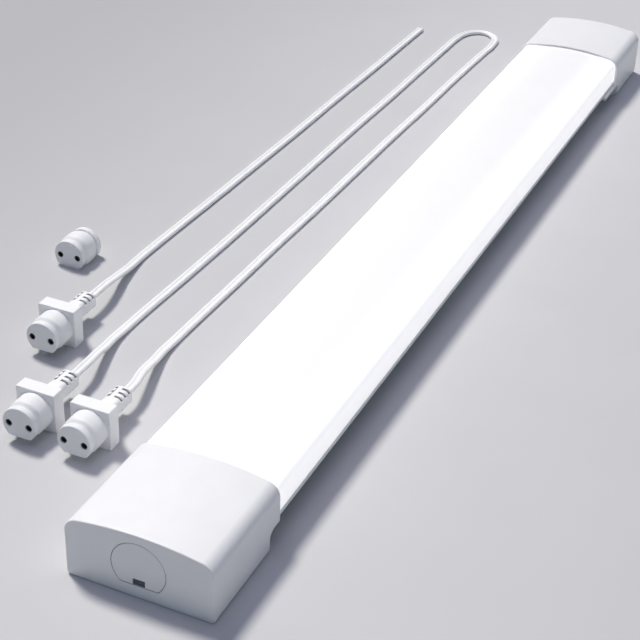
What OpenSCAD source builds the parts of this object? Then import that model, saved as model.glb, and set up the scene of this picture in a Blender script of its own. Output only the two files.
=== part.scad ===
// Linkable wraparound shop light lying on its back, with its cord sets and its coupler.
// Millimetres. X runs along the light, Y across it, and Z points out of the diffuser.
// The origin is the middle of the tray's back face. The caps' feet stand foot_h below it.

/* [Light] */
// Overall length over the two end caps
light_len = 914; // [880:1:1250]
// Width across the end caps
cap_w = 98; // [96:0.5:120]
// Height of an end cap from its foot to the crown
cap_h = 46.2; // [45.5:0.1:56]
// Depth of the end caps' feet below the tray
foot_h = 15; // [14:0.1:18]
// Radius of the crown across the light
crown_r = 224; // [180:1:320]
// Radius between the crown and the sides
shoulder_r = 10; // [5:0.1:12]

/* [End caps] */
// Length of the hood over the diffuser
hood_len = 83; // [79:0.5:110]
// Length of the foot
foot_len = 69.7; // [66:0.1:73]
// Wall of a cap
cap_wall = 1.7; // [1.4:0.1:2]
// Thickness of the end face
face_wall = 2.4; // [2:0.1:3]
// Radius along the foot's lower edges
foot_r = 2.8; // [2.4:0.1:6]
// Fillet between the foot and the hood
step_r = 5.4; // [3:0.1:6]
// Gap between a cap and what slides into it
cap_gap = 0.2; // [0.1:0.05:0.4]
// Length of the tongue under the tray, from the foot
tongue_len = 45; // [20:1:60]
// Width of the tongue
tongue_w = 5; // [3:0.5:8]
// Thickness of the tongue
tongue_t = 3; // [2:0.1:4]

/* [Base tray] */
// Sheet of the tray
sheet_t = 0.8; // [0.6:0.1:1]
// How far the tray stops short of the light's ends
tray_back = 36; // [35.5:0.5:38]
// Height of the folded hem along each side
hem_h = 2; // [1.6:0.1:2.2]
// How far the tray's side stands inside its hem
hem_step = 1; // [0.8:0.1:1.4]
// Height of the tray's side with its rim
rim_z = 5.2; // [5:0.1:6]
// Width of the inward rim that carries the diffuser
rim_w = 5.8; // [4:0.1:6.5]
// Radius of the two stiffening beads
bead_r = 1.6; // [1:0.1:2]
// Distance of each bead from the middle
bead_y = 7; // [6.5:0.1:8]
// Radius of a hanging screw hole
hang_r = 2.5; // [2:0.1:3]
// Distance between the two hanging screw holes
hang_span = 600; // [300:5:600]
// Length of a hook slot
hook_slot_len = 8; // [6:0.5:8.5]
// Width of a hook slot
hook_slot_w = 3; // [2:0.1:3.5]
// Distance between the two slots of one hook
hook_pitch = 12; // [8:0.5:14]

/* [Diffuser] */
// Wall of the diffuser
lens_t = 1.6; // [1.2:0.1:2]
// How far the diffuser runs into each hood
lens_in = 20; // [10:1:22]
// Thickness of the lips that grip the rim
lip_t = 1.4; // [1:0.1:1.6]
// Gap between the lips and the rim
lip_gap = 0.3; // [0.2:0.05:0.4]
// Reach of the lower lip under the rim
lip_reach = 3.6; // [2:0.1:4]
// Height at which the diffuser's sides end, outside the tray's rims
lens_side_z = 4.2; // [3.6:0.1:5]
// Clearance between those sides and the rims
lens_side_gap = 0.2; // [0.1:0.05:0.3]

/* [Sockets] */
// Height of a socket's axis above the foot
socket_h = 22.1; // [21:0.1:23]
// Radius of the socket cover
cover_r = 18; // [17:0.1:18.5]
// Distance from the cover's axis to its flat edge
cover_flat = 13; // [12:0.1:13.4]
// Gap around the cover
cover_gap = 0.25; // [0.15:0.05:0.4]
// Width of the pry notch
notch_w = 8.2; // [4:0.1:10]
// Height of the pry notch
notch_h = 4.9; // [3:0.1:6]
// Length of the cover's skirt
skirt_len = 3.6; // [2:0.1:4]
// Wall of the cover's skirt
skirt_t = 1.3; // [1:0.1:1.6]
// Gap between the cup and what goes into it
cup_gap = 0.5; // [0.4:0.05:0.7]
// Wall of the cup
cup_wall = 1.5; // [1.2:0.1:2]
// Depth of the cup below the end face
cup_depth = 21.5; // [21:0.1:23]
// Radius of a contact pin
pin_r = 2; // [1.8:0.05:2.05]
// Distance between the two contact pins
pin_span = 15.4; // [14:0.1:16]
// Length of a contact pin inside the cup
pin_len = 15; // [12:0.1:16]

/* [Connectors] */
// Side of the square flange
flange_w = 30; // [27:0.1:30]
// Thickness of the flange
flange_t = 10.7; // [8:0.1:12]
// Length of the nose in front of the flange
nose_len = 20.1; // [18:0.1:20.5]
// Radius of the ring at the nose's end
nose_r = 12.7; // [12:0.1:12.8]
// Radius of the valley behind the ring
valley_r = 11.9; // [11.5:0.1:12.4]
// Radius of the nose's barrel
barrel_r = 13.3; // [12.9:0.1:13.6]
// Distance from the nose's axis to its flat side
nose_flat = 9.4; // [8.5:0.1:10]
// Length of the ring at the nose's end
ring_len = 4.6; // [3:0.1:6]
// Radius of a contact hole
hole_r = 2.1; // [2.1:0.05:2.3]
// Length of the hood behind the flange
grip_len = 12.5; // [10:0.5:18]
// Length of the strain relief behind the hood
relief_len = 19.8; // [16:0.1:26]
// Width of the strain relief
relief_w = 12.8; // [10:0.1:14]
// Height of the strain relief
relief_h = 12; // [9:0.1:14]
// Width of a slot in the strain relief
slot_w = 1.7; // [1:0.1:2.2]
// Distance between two slots
slot_pitch = 4.9; // [4:0.1:5.5]

/* [Coupler] */
// Length of the coupler
coupler_len = 27.4; // [24:0.1:32]
// Radius of the coupler's end rings
coupler_r = 13; // [12.8:0.1:13.2]
// Radius of the coupler's fuller middle
coupler_belly_r = 13.7; // [13.3:0.1:14.2]
// Distance from the coupler's axis to its flat side
coupler_flat = 9.6; // [8.5:0.1:10.5]
// Place of the coupler's front end along the light
coupler_x = -153; // [-300:1:100]
// Place of the coupler across the light
coupler_y = 243; // [235:1:280]

/* [Cords] */
// Width of the flat twin cord
cord_w = 7.3; // [6:0.1:8]
// Thickness of the flat twin cord
cord_h = 3.65; // [3:0.05:3.7]
// Depth of the groove between the cores, as half the thickness left
groove_h = 0.95; // [0.6:0.05:1.2]

/* [Light boards] */
// Width of a light board
board_w = 20; // [16:0.5:20]
// Thickness of a light board
board_t = 1.2; // [1:0.1:1.6]
// Distance of each row of boards from the middle
board_y = 21; // [21:0.1:22]
// Gap between the two boards of a row
board_gap = 12; // [8:0.5:16]
// Distance between two light chips
chip_pitch = 15; // [10:0.5:20]
// Length of a chip
chip_len = 3.5; // [2:0.1:5]
// Width of a chip
chip_w = 2.8; // [1.5:0.1:3]
// Height of a chip
chip_t = 0.7; // [0.5:0.1:1]

/* [Driver] */
// Length of the driver board along the light
driver_len = 40; // [38:0.5:41]
// Width of the driver board
driver_w = 60; // [56:0.5:62]
// Thickness of the driver board
driver_t = 1.6; // [1:0.1:2]
// Height of the spacers under the driver board
spacer_h = 6; // [5:0.1:7]

/* [Hidden] */
$fn = 64;

// How far a cut runs past the face it opens
overrun = 1;
// Sides of the wide crown's circle
crown_fn = 720;
// How far a shoulder's arc laps the crown's
arc_lap = 0.002;
half_len = light_len / 2;
half_w = cap_w / 2;
crown_top = cap_h - foot_h;
floor_z = -foot_h;
socket_z = socket_h - foot_h;

// Screw posts in a foot, measured from the end face
post_x = 58;
post_in = 19;
post_y = half_w - post_in;
post_r = 5;
post_web = 3.5;
// Pan-head screws: head radius, head height, shank radius, clearance and pilot holes
cap_head_r = 3.3;
cap_head_h = 2.4;
cap_shank_r = 1.5;
cap_hole_r = 1.9;
cap_bore_r = 3.8;
cap_pilot_r = 1.55;
cap_shank_up = 3;
collar_r = 2.8;
collar_h = 1.4;
small_head_r = 2.8;
small_head_h = 1.8;
small_shank_r = 1.25;
small_hole_r = 1.7;
small_pilot_r = 1.35;
small_tip_up = 0.1;
// Width and depth of the cross slot in every screw head
cross_w = 0.8;
cross_share = 0.55;

// Bosses and ears that carry a socket body
boss_y = 25;
boss_r = 3.2;
boss_len = 6;
boss_floor = 0.8;
ear_t = 2;
ear_h = 9;
ear_over = 4.5;
seat_t = 1.8;
seat_over = 2.5;
cup_floor = 2.5;
tail_r = 1.5;
tail_len = 5;
pin_fit = 0.05;

// Terminal block behind each socket
block_x = 27;
block_len = 8;
block_w = 26;
block_low = 1.5;
block_h = 11.5;
block_hole_t = 2.2;
block_hole_fit = 0.1;
block_step = 3;
block_step_h = 4;

tray_half_w = half_w - cap_wall - cap_gap;
tray_len = light_len - 2 * tray_back;
side_out = tray_half_w - hem_step;
hook_past = 40;
hook_x = hang_span / 2 + hook_past;
lens_inset = cap_wall + cap_gap;
lens_len = light_len - 2 * (hood_len - lens_in);
lens_low = rim_z + lip_gap;
rim_in = side_out - rim_w;
web_out = rim_in - lip_gap;
web_in = web_out - lip_t;
lower_lip_top = rim_z - sheet_t - lip_gap;
lens_side_t = tray_half_w - side_out - lens_side_gap;

// The driver board stands on four spacers behind the near end
driver_in = 4;
driver_x = -half_len + tray_back + driver_in + driver_len / 2;
driver_z = sheet_t + spacer_h;
driver_top = driver_z + driver_t;
spacer_r = 2.6;
spacer_hole_r = 1.6;
spacer_in = 4;
spacer_dx = driver_len / 2 - spacer_in;
spacer_dy = driver_w / 2 - spacer_in;
insulator_gap = 2;
insulator_t = 0.5;

// What stands on the driver board: places from its middle or from its ends, and sizes
transformer_x = 4;
core_len = 17;
core_w = 20;
core_h = 14;
core_yoke = 3.5;
core_gap = 3;
coil_over = 1.5;
can_in = 9;
can_x = can_in - driver_len / 2;
can_y = 17;
can_r = 5;
can_h = 15;
can_bead = 1.2;
can_bead_in = 0.4;
choke_in = 11;
choke_x = driver_len / 2 - choke_in;
choke_y = 17;
choke_r = 4;
choke_core_r = 2.2;
fuse_in = 11;
fuse_x = driver_len / 2 - fuse_in;
fuse_y = -11;
fuse_len = 18;
fuse_end_len = 4;
fuse_glass_r = 2.2;
fuse_end_r = 2.6;
rectifier_in = 8;
rectifier_x = rectifier_in - driver_len / 2;
rectifier_t = 4;
rectifier_w = 12;
rectifier_h = 6;

// The light boards fill the tray between the driver and the middle, in whole pairs of chips
board_start = 5;
board_end = 3;
round_off = 0.01;
board_room = -driver_x - driver_len / 2 - board_start - board_gap / 2 - 2 * board_end;
chip_count = 2 * floor(board_room / chip_pitch / 2 + round_off);
board_len = chip_count * chip_pitch + 2 * board_end;
board_x = (board_gap + board_len) / 2;
board_screw_x = (chip_count / 2 - 2) * chip_pitch;
chip_z = sheet_t + board_t;
link_over = 8;
link_w = 8;
link_h = 3;

// The contact holes of a connector and the sleeves in them
lead_in = 3;
sleeve_r = 2.6;
sleeve_gap = 0.05;
sleeve_len = 14;
nose_root_r = 11;
nose_root_len = 6;
root_gap = 0.1;
edge_r = 0.8;
// Length of the flank from a nose's barrel, or the coupler's belly, down to the valley
nose_flank = 5;
coupler_flank = 7;
flange_edge = 1;
relief_corner = 3.6;
relief_end_in = 0.25;
relief_nose = 1.4;
slot_core_h = 4.4;
spine_low = -0.4;
spine_high = 2.8;
bridge_w = 1.2;
bridge_h = 6.4;
last_slot_back = 3.5;
grip_curve = 2.2;
grip_steps = 5;
corner_steps = 4;

// Places of the connectors' flange fronts, from the floor
power_place = [-250, 190, flange_w / 2];
link_a_place = [-344, 145, flange_w / 2];
link_b_place = [-344, 103, flange_w / 2];
// Longest step between two rings of a cord
cord_step = 45;
// The cords' middle lines from the strain reliefs down to the floor, heights from the floor
power_cord_route = [
    [-207, 190, 15], [-195, 190, 15], [-182, 191, 14], [-168, 193, 11], [-152, 196, 7],
    [-136, 198, 4], [-118, 200, 2.2], [-98, 200, 1.9], [-60, 199, 1.9], [0, 197, 1.9],
    [80, 195, 1.9], [160, 193, 1.9], [240, 192, 1.9], [320, 190, 1.9], [400, 189, 1.9],
    [457, 188, 1.9]
];
link_cord_route = [
    [-301, 145, 15], [-289, 145, 15], [-276, 146, 14], [-262, 149, 11], [-247, 152, 7],
    [-231, 155, 4], [-213, 156, 2.2], [-193, 156, 1.9], [-130, 154, 1.9], [-50, 152, 1.9],
    [30, 151, 1.9], [110, 150, 1.9], [190, 149, 1.9], [270, 147, 1.9], [350, 146, 1.9],
    [420, 145, 1.9], [452, 144, 1.9], [466, 141, 1.9], [476, 134, 1.9], [480, 125, 1.9],
    [477, 115, 1.9], [468, 107, 1.9], [454, 104, 1.9], [420, 105, 1.9], [350, 107, 1.9],
    [270, 108, 1.9], [190, 110, 1.9], [110, 111, 1.9], [30, 112, 1.9], [-50, 114, 1.9],
    [-130, 115, 1.9], [-190, 116, 1.9], [-212, 116, 2.2], [-230, 115, 4], [-246, 112, 7],
    [-261, 109, 11], [-275, 106, 14], [-289, 103, 15], [-301, 103, 15]
];

// Wires inside the light, and the gap that they keep
wire_r = 1.1;
lead_r = 0.8;
wire_sides = 8;
wire_clear = 0.15;
wire_stub = 2.6;
wire_exit_y = 9;
live_rise = 5.8;
wire_floor = sheet_t + wire_r + wire_clear;
pass_z = sheet_t + bead_r + wire_r + wire_clear;
live_y = post_y + collar_r + wire_r + wire_clear;
neutral_y = live_y + 2 * wire_r + wire_clear;
mains_lead_y = 3;
mains_lead_z = 10.6;
mains_pad_y = 7;
mains_pad_in = 3;
light_lead_y = 15;
light_lead_in = 2;
lead_lane = 1.6;
lead_stub = 1.6;
pad_in = 3;

// A shape drawn across the light, pushed along it
module along_x(length) {
    rotate([90, 0, 90])
        linear_extrude(height = length)
            children();
}

// A shape drawn from the side, pushed across the light
module across_y(width) {
    translate([0, width / 2, 0])
        rotate([90, 0, 0])
            linear_extrude(height = width)
                children();
}

// A round bar or hole along X
module bar_x(r, length) {
    rotate([0, 90, 0])
        cylinder(r = r, h = length);
}

// Circle with a flat side below
module d_shape(r, flat) {
    intersection() {
        circle(r = r);
        translate([-r, -flat])
            square([2 * r, flat + r]);
    }
}

// Crowned section with round shoulders, inset from the cap's outside and flat at low.
// The shoulders' arcs lap the crown's by a hair, so that they always cross.
module crown_shape(inset, low) {
    w = half_w - inset;
    top = crown_top - inset;
    r = crown_r - inset;
    s = shoulder_r - inset;
    cy = w - s;
    rise = sqrt((r - s) * (r - s) - cy * cy);
    cz = top - r + rise + arc_lap;
    reach = 2 * shoulder_r / (r - s);
    translate([-w, low])
        square([2 * w, cz - low]);
    for (side = [-1, 1])
        translate([side * cy, cz])
            circle(r = s);
    intersection() {
        translate([0, top - r])
            circle(r = r, $fn = crown_fn);
        polygon([
            [-cy, low], [cy, low], [cy, cz], [cy + reach * cy, cz + reach * rise],
            [-cy - reach * cy, cz + reach * rise], [-cy, cz]
        ]);
    }
}

// The whole section of a cap, crown, sides and rounded foot
module cap_section(inset) {
    w = half_w - inset;
    r = foot_r - inset;
    low = floor_z + inset;
    crown_shape(inset, low + r);
    translate([-(w - r), low])
        square([2 * (w - r), r]);
    for (side = [-1, 1])
        translate([side * (w - r), low + r])
            circle(r = r);
}

// Side view of a cap: the foot steps up to the hood with a fillet
module cap_side() {
    difference() {
        union() {
            translate([0, floor_z])
                square([foot_len, cap_h]);
            translate([0, 0])
                square([hood_len, crown_top]);
            translate([foot_len, -step_r])
                square([step_r, step_r]);
        }
        translate([foot_len + step_r, -step_r])
            circle(r = step_r);
    }
}

// One end cap, with its end face at x = 0 and its hood towards +X
module end_cap_shape() {
    difference() {
        union() {
            difference() {
                intersection() {
                    along_x(hood_len)
                        cap_section(0);
                    across_y(cap_w)
                        cap_side();
                }
                translate([face_wall, 0, 0])
                    along_x(hood_len)
                        crown_shape(cap_wall, 0);
                translate([face_wall, 0, 0])
                    along_x(foot_len - cap_wall - face_wall)
                        cap_section(cap_wall);
            }
            for (side = [-1, 1]) {
                translate([post_x, side * post_y, floor_z])
                    cylinder(r = post_r, h = foot_h);
                translate([0, side * boss_y, socket_z])
                    bar_x(boss_r, face_wall + boss_len);
            }
            translate([foot_len - cap_wall, half_w - tongue_w, -tongue_t])
                cube([tongue_len + cap_wall, tongue_w, tongue_t]);
        }
        translate([-overrun, 0, socket_z])
            along_x(face_wall + 2 * overrun)
                d_shape(cover_r + cover_gap, cover_flat + cover_gap);
        for (side = [-1, 1]) {
            translate([post_x, side * post_y, floor_z - overrun])
                cylinder(r = cap_bore_r, h = foot_h - post_web + overrun);
            translate([post_x, side * post_y, -post_web - overrun])
                cylinder(r = cap_hole_r, h = post_web + 2 * overrun);
            translate([face_wall + boss_floor, side * boss_y, socket_z])
                bar_x(small_pilot_r, boss_len + overrun);
        }
    }
}

// What stands at the near end as drawn, and turned half round at the far end
module near_end() {
    translate([-half_len, 0, 0])
        children();
}

module far_end() {
    rotate([0, 0, 180])
        near_end()
            children();
}

module end_cap_colour() {
    color("whitesmoke")
        end_cap_shape();
}

module near_end_cap() {
    near_end()
        end_cap_colour();
}

module far_end_cap() {
    far_end()
        end_cap_colour();
}

// Push-in cover that closes a socket: a flat disc and a split skirt, with a pry notch through both
module socket_cover_shape() {
    skirt_r = barrel_r + cup_gap - cover_gap;
    skirt_flat = nose_flat + cup_gap - cover_gap;
    difference() {
        union() {
            along_x(face_wall)
                d_shape(cover_r, cover_flat);
            translate([face_wall, 0, 0])
                along_x(skirt_len)
                    difference() {
                        d_shape(skirt_r, skirt_flat);
                        d_shape(skirt_r - skirt_t, skirt_flat - skirt_t);
                        square([skirt_t * 2, 2 * cover_r], center = true);
                        square([2 * cover_r, skirt_t * 2], center = true);
                    }
        }
        translate([-overrun, -notch_w / 2, -cover_flat - overrun])
            cube([face_wall + skirt_len + 2 * overrun, notch_w, notch_h + overrun]);
    }
}

module near_socket_cover() {
    color("whitesmoke")
        near_end()
            translate([0, 0, socket_z])
                socket_cover_shape();
}

module far_socket_cover() {
    color("whitesmoke")
        far_end()
            translate([0, 0, socket_z])
                socket_cover_shape();
}

// Insulating body behind the end face, with the cup that takes a connector's nose
module socket_body_shape() {
    cup_r = barrel_r + cup_gap;
    cup_flat = nose_flat + cup_gap;
    ear_x = face_wall + boss_len;
    difference() {
        union() {
            translate([face_wall, 0, 0])
                along_x(seat_t)
                    d_shape(cover_r + seat_over, cover_flat + seat_over);
            translate([face_wall, 0, 0])
                along_x(cup_depth + cup_floor - face_wall)
                    d_shape(cup_r + cup_wall, cup_flat + cup_wall);
            translate([ear_x, -boss_y - ear_over, -ear_h / 2])
                cube([ear_t, 2 * (boss_y + ear_over), ear_h]);
        }
        along_x(cup_depth)
            d_shape(cup_r, cup_flat);
        translate([face_wall - overrun, -notch_w / 2, -cover_flat])
            cube([seat_t + overrun, notch_w, cover_flat - cup_flat + overrun]);
        for (side = [-1, 1]) {
            translate([ear_x - overrun, side * boss_y, 0])
                bar_x(small_hole_r, ear_t + 2 * overrun);
            translate([cup_depth - overrun, side * pin_span / 2, 0])
                bar_x(pin_r + pin_fit, cup_floor + 2 * overrun);
        }
    }
}

module near_socket_body() {
    color("gainsboro")
        near_end()
            translate([0, 0, socket_z])
                socket_body_shape();
}

module far_socket_body() {
    color("gainsboro")
        far_end()
            translate([0, 0, socket_z])
                socket_body_shape();
}

// Two round contact pins with domed ends and thinner tails
module contact_pins_shape() {
    tip_x = cup_depth - pin_len;
    rear_x = cup_depth + cup_floor;
    for (side = [-1, 1])
        translate([0, side * pin_span / 2, 0]) {
            translate([tip_x + pin_r, 0, 0])
                bar_x(pin_r, rear_x - tip_x - pin_r);
            translate([tip_x + pin_r, 0, 0])
                sphere(r = pin_r);
            translate([rear_x, 0, 0])
                bar_x(tail_r, tail_len);
        }
}

module near_contact_pins() {
    color("silver")
        near_end()
            translate([0, 0, socket_z])
                contact_pins_shape();
}

module far_contact_pins() {
    color("silver")
        far_end()
            translate([0, 0, socket_z])
                contact_pins_shape();
}

// Stepped terminal block pushed onto the pins' tails
module terminal_block_shape() {
    difference() {
        union() {
            translate([block_x, -block_w / 2, block_low])
                cube([block_len, block_w, block_h]);
            translate([block_x, -block_w / 2, block_low + block_h])
                cube([block_len - block_step, block_w, block_step_h]);
        }
        for (side = [-1, 1]) {
            translate([block_x - overrun, side * pin_span / 2, socket_z])
                bar_x(tail_r + block_hole_fit, block_hole_t + overrun);
            translate([block_x + block_step, side * pin_span / 2, block_low + block_h])
                cylinder(r = small_hole_r, h = block_step_h + overrun);
        }
    }
}

module near_terminal_block() {
    color("darkseagreen")
        near_end()
            terminal_block_shape();
}

module far_terminal_block() {
    color("darkseagreen")
        far_end()
            terminal_block_shape();
}

// Pan-head screw standing on its head's underside, with its shank down
module screw(head_r, head_h, shank_r, shank_len) {
    difference() {
        cylinder(r = head_r, h = head_h);
        for (turn = [0, 90])
            rotate([0, 0, turn])
                translate([-head_r * cross_share, -cross_w / 2, head_h * (1 - cross_share)])
                    cube([2 * head_r * cross_share, cross_w, head_h]);
    }
    translate([0, 0, -shank_len])
        cylinder(r = shank_r, h = shank_len);
}

module socket_screws() {
    shank = ear_t + boss_len - boss_floor;
    color("silver")
        for (end = [0, 180], side = [-1, 1])
            rotate([0, 0, end])
                near_end()
                    translate([face_wall + boss_len + ear_t, side * boss_y, socket_z])
                        rotate([0, 90, 0])
                            screw(small_head_r, small_head_h, small_shank_r, shank);
}

module cap_screws() {
    color("silver")
        for (end = [0, 180], side = [-1, 1])
            rotate([0, 0, end])
                near_end()
                    translate([post_x, side * post_y, -post_web])
                        rotate([180, 0, 0])
                            screw(cap_head_r, cap_head_h, cap_shank_r, post_web + cap_shank_up);
}

// Section of the tray: back, beads, hemmed sides and inward rims
module tray_section() {
    difference() {
        union() {
            translate([-(tray_half_w - hem_h / 2), 0])
                square([2 * tray_half_w - hem_h, sheet_t]);
            for (side = [-1, 1]) {
                translate([side * (tray_half_w - hem_h / 2), hem_h / 2])
                    circle(r = hem_h / 2);
                translate([side * (side_out + tray_half_w - sheet_t - hem_h / 2) / 2, hem_h / 2])
                    square([tray_half_w - side_out + sheet_t - hem_h / 2, hem_h], center = true);
                translate([side * (side_out - sheet_t / 2), rim_z / 2])
                    square([sheet_t, rim_z], center = true);
                translate([side * (side_out - rim_w / 2), rim_z - sheet_t / 2])
                    square([rim_w, sheet_t], center = true);
                intersection() {
                    translate([side * bead_y, 0])
                        circle(r = bead_r + sheet_t);
                    translate([side * bead_y - bead_r - sheet_t, 0])
                        square([2 * (bead_r + sheet_t), bead_r + sheet_t]);
                }
            }
        }
        for (side = [-1, 1])
            translate([side * bead_y, 0])
                circle(r = bead_r);
    }
}

module base_tray() {
    color("lightgray")
        difference() {
            union() {
                translate([-tray_len / 2, 0, 0])
                    along_x(tray_len)
                        tray_section();
                for (end = [-1, 1], side = [-1, 1])
                    translate([end * (half_len - post_x), side * post_y, 0])
                        cylinder(r = collar_r, h = sheet_t + collar_h);
            }
            for (end = [-1, 1], side = [-1, 1]) {
                translate([end * (half_len - post_x), side * post_y, -overrun])
                    cylinder(r = cap_pilot_r, h = sheet_t + collar_h + 2 * overrun);
                for (step = [-1, 0, 1])
                    translate([
                        end * board_x + step * board_screw_x,
                        side * board_y,
                        -overrun
                    ])
                        cylinder(r = small_pilot_r, h = sheet_t + 2 * overrun);
                translate([driver_x + end * spacer_dx, side * spacer_dy, -overrun])
                    cylinder(r = small_pilot_r, h = sheet_t + 2 * overrun);
            }
            for (end = [-1, 1]) {
                translate([end * hang_span / 2, 0, -overrun])
                    cylinder(r = hang_r, h = sheet_t + 2 * overrun);
                for (slot = [-1, 1])
                    translate([end * hook_x + slot * hook_pitch / 2, 0, sheet_t / 2])
                        cube([hook_slot_w, hook_slot_len, sheet_t + 2 * overrun], center = true);
            }
        }
}

// Opal cover: a crowned channel whose lips grip the tray's rims
module lens_section() {
    difference() {
        crown_shape(lens_inset, lens_low);
        crown_shape(lens_inset + lens_t, lens_low + lip_t);
        translate([-web_in, lens_low - overrun])
            square([2 * web_in, lip_t + 2 * overrun]);
    }
    for (side = [-1, 1]) {
        translate([side * (side_out + lens_side_gap + lens_side_t / 2), (lens_side_z + lens_low + lip_t) / 2])
            square([lens_side_t, lens_low + lip_t - lens_side_z], center = true);
        translate([side * (web_in + web_out) / 2, (lens_low + lip_t + lower_lip_top - lip_t) / 2])
            square([lip_t, lens_low + 2 * lip_t - lower_lip_top], center = true);
        translate([side * (web_in + (lip_t + lip_reach) / 2), lower_lip_top - lip_t / 2])
            square([lip_t + lip_reach, lip_t], center = true);
    }
}

module diffuser() {
    color("white")
        translate([-lens_len / 2, 0, 0])
            along_x(lens_len)
                lens_section();
}

// A light board of one end and side, with its three screw holes
module light_board(end, side) {
    color("ghostwhite")
        translate([end * board_x, side * board_y, sheet_t])
            difference() {
                translate([-board_len / 2, -board_w / 2, 0])
                    cube([board_len, board_w, board_t]);
                for (step = [-1, 0, 1])
                    translate([step * board_screw_x, 0, -overrun])
                        cylinder(r = small_hole_r, h = board_t + 2 * overrun);
            }
}

// The row of chips on one board
module light_chips(end, side) {
    first = -(chip_count - 1) * chip_pitch / 2;
    color("khaki")
        translate([end * board_x, side * board_y, chip_z])
            for (i = [0 : chip_count - 1])
                translate([first + i * chip_pitch - chip_len / 2, -chip_w / 2, 0])
                    cube([chip_len, chip_w, chip_t]);
}

module board_links() {
    color("white")
        for (side = [-1, 1])
            translate([-board_gap / 2 - link_over, side * board_y - link_w / 2, chip_z])
                cube([board_gap + 2 * link_over, link_w, link_h]);
}

module board_screws() {
    color("silver")
        for (end = [-1, 1], side = [-1, 1], step = [-1, 0, 1])
            translate([
                end * board_x + step * board_screw_x,
                side * board_y,
                chip_z
            ])
                screw(small_head_r, small_head_h, small_shank_r, chip_z - small_tip_up);
}

module driver_board() {
    color("seagreen")
        translate([driver_x, 0, driver_z])
            difference() {
                translate([-driver_len / 2, -driver_w / 2, 0])
                    cube([driver_len, driver_w, driver_t]);
                for (end = [-1, 1], side = [-1, 1])
                    translate([end * spacer_dx, side * spacer_dy, -overrun])
                        cylinder(r = small_hole_r, h = driver_t + 2 * overrun);
            }
}

// Ferrite transformer: a core of three legs round a wound bobbin
module driver_transformer() {
    translate([driver_x + transformer_x, 0, driver_top]) {
        color("dimgray")
            difference() {
                translate([-core_len / 2, -core_w / 2, 0])
                    cube([core_len, core_w, core_h]);
                for (side = [-1, 1])
                    translate([0, side * core_w / 4, core_h / 2])
                        cube([core_len + overrun, core_gap, core_h - 2 * core_yoke], center = true);
            }
        color("goldenrod")
            for (end = [-1, 1])
                translate([end * (core_len + coil_over) / 2, 0, core_h / 2])
                    cube([coil_over, core_w - core_yoke, core_h - 2 * core_yoke], center = true);
    }
}

// Two standing capacitors with a bead rolled in above their feet
module driver_capacitors() {
    color("darkslategray")
        for (side = [-1, 1])
            translate([driver_x + can_x, side * can_y, driver_top]) {
                cylinder(r = can_r, h = can_bead);
                cylinder(r = can_r - can_bead_in, h = can_h);
                translate([0, 0, 2 * can_bead])
                    cylinder(r = can_r, h = can_h - 2 * can_bead);
            }
}

// Ring-shaped choke lying on the board
module driver_choke() {
    color("peru")
        translate([driver_x + choke_x, choke_y, driver_top + choke_core_r])
            rotate_extrude()
                translate([choke_r, 0])
                    circle(r = choke_core_r);
}

// Glass fuse between two end caps
module driver_fuse() {
    translate([driver_x + fuse_x, fuse_y - fuse_len, driver_top + fuse_end_r])
        rotate([-90, 0, 0]) {
            color("lightcyan")
                translate([0, 0, fuse_end_len])
                    cylinder(r = fuse_glass_r, h = fuse_len - 2 * fuse_end_len);
            color("silver")
                for (z = [0, fuse_len - fuse_end_len])
                    translate([0, 0, z])
                        cylinder(r = fuse_end_r, h = fuse_end_len);
        }
}

module driver_rectifier() {
    color("black")
        translate([driver_x + rectifier_x - rectifier_t / 2, -rectifier_w / 2, driver_top])
            cube([rectifier_t, rectifier_w, rectifier_h]);
}

// Sheet under the driver, lying on the tray's beads
module driver_insulator() {
    wide = 2 * (spacer_dy - spacer_r - insulator_gap);
    color("beige")
        translate([driver_x - driver_len / 2, -wide / 2, sheet_t + bead_r])
            cube([driver_len, wide, insulator_t]);
}

module driver_spacers() {
    color("white")
        for (end = [-1, 1], side = [-1, 1])
            translate([driver_x + end * spacer_dx, side * spacer_dy, sheet_t])
                difference() {
                    cylinder(r = spacer_r, h = spacer_h);
                    translate([0, 0, -overrun])
                        cylinder(r = spacer_hole_r, h = spacer_h + 2 * overrun);
                }
}

module driver_screws() {
    color("silver")
        for (end = [-1, 1], side = [-1, 1])
            translate([driver_x + end * spacer_dx, side * spacer_dy, driver_top])
                screw(small_head_r, small_head_h, small_shank_r, driver_top - small_tip_up);
}

// Unit vector, the path's heading at a point, and the level direction square to it
function unit(v) = v / norm(v);
function heading(path, i) =
    unit(path[min(i + 1, len(path) - 1)] - path[max(i - 1, 0)]);
function level_side(t) = norm([t[0], t[1]]) == 0 ? [0, 1, 0] : unit([-t[1], t[0], 0]);

// A section's points set round each point of a path
function swept_points(path, section) = [
    for (i = [0 : len(path) - 1])
        let (t = heading(path, i), side = level_side(t), up = cross(t, side))
            for (p = section)
                path[i] + side * p[0] + up * p[1]
];

// Triangles between neighbouring rings of n points, and over the two ends
function ring_faces(rings, n) = concat(
    [
        for (i = [0 : rings - 2], j = [0 : n - 1])
            let (a = i * n, b = a + n, k = (j + 1) % n)
                each [[a + j, b + k, a + k], [a + j, b + j, b + k]]
    ],
    [for (j = [1 : n - 2]) [0, j, j + 1]],
    [for (j = [1 : n - 2]) [(rings - 1) * n, (rings - 1) * n + j + 1, (rings - 1) * n + j]]
);

module swept(path, section) {
    polyhedron(
        points = swept_points(path, section),
        faces = ring_faces(len(path), len(section)),
        convexity = 4
    );
}

function round_section(r, sides) =
    [for (i = [0 : sides - 1]) r * [cos(360 * i / sides), sin(360 * i / sides)]];

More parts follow.
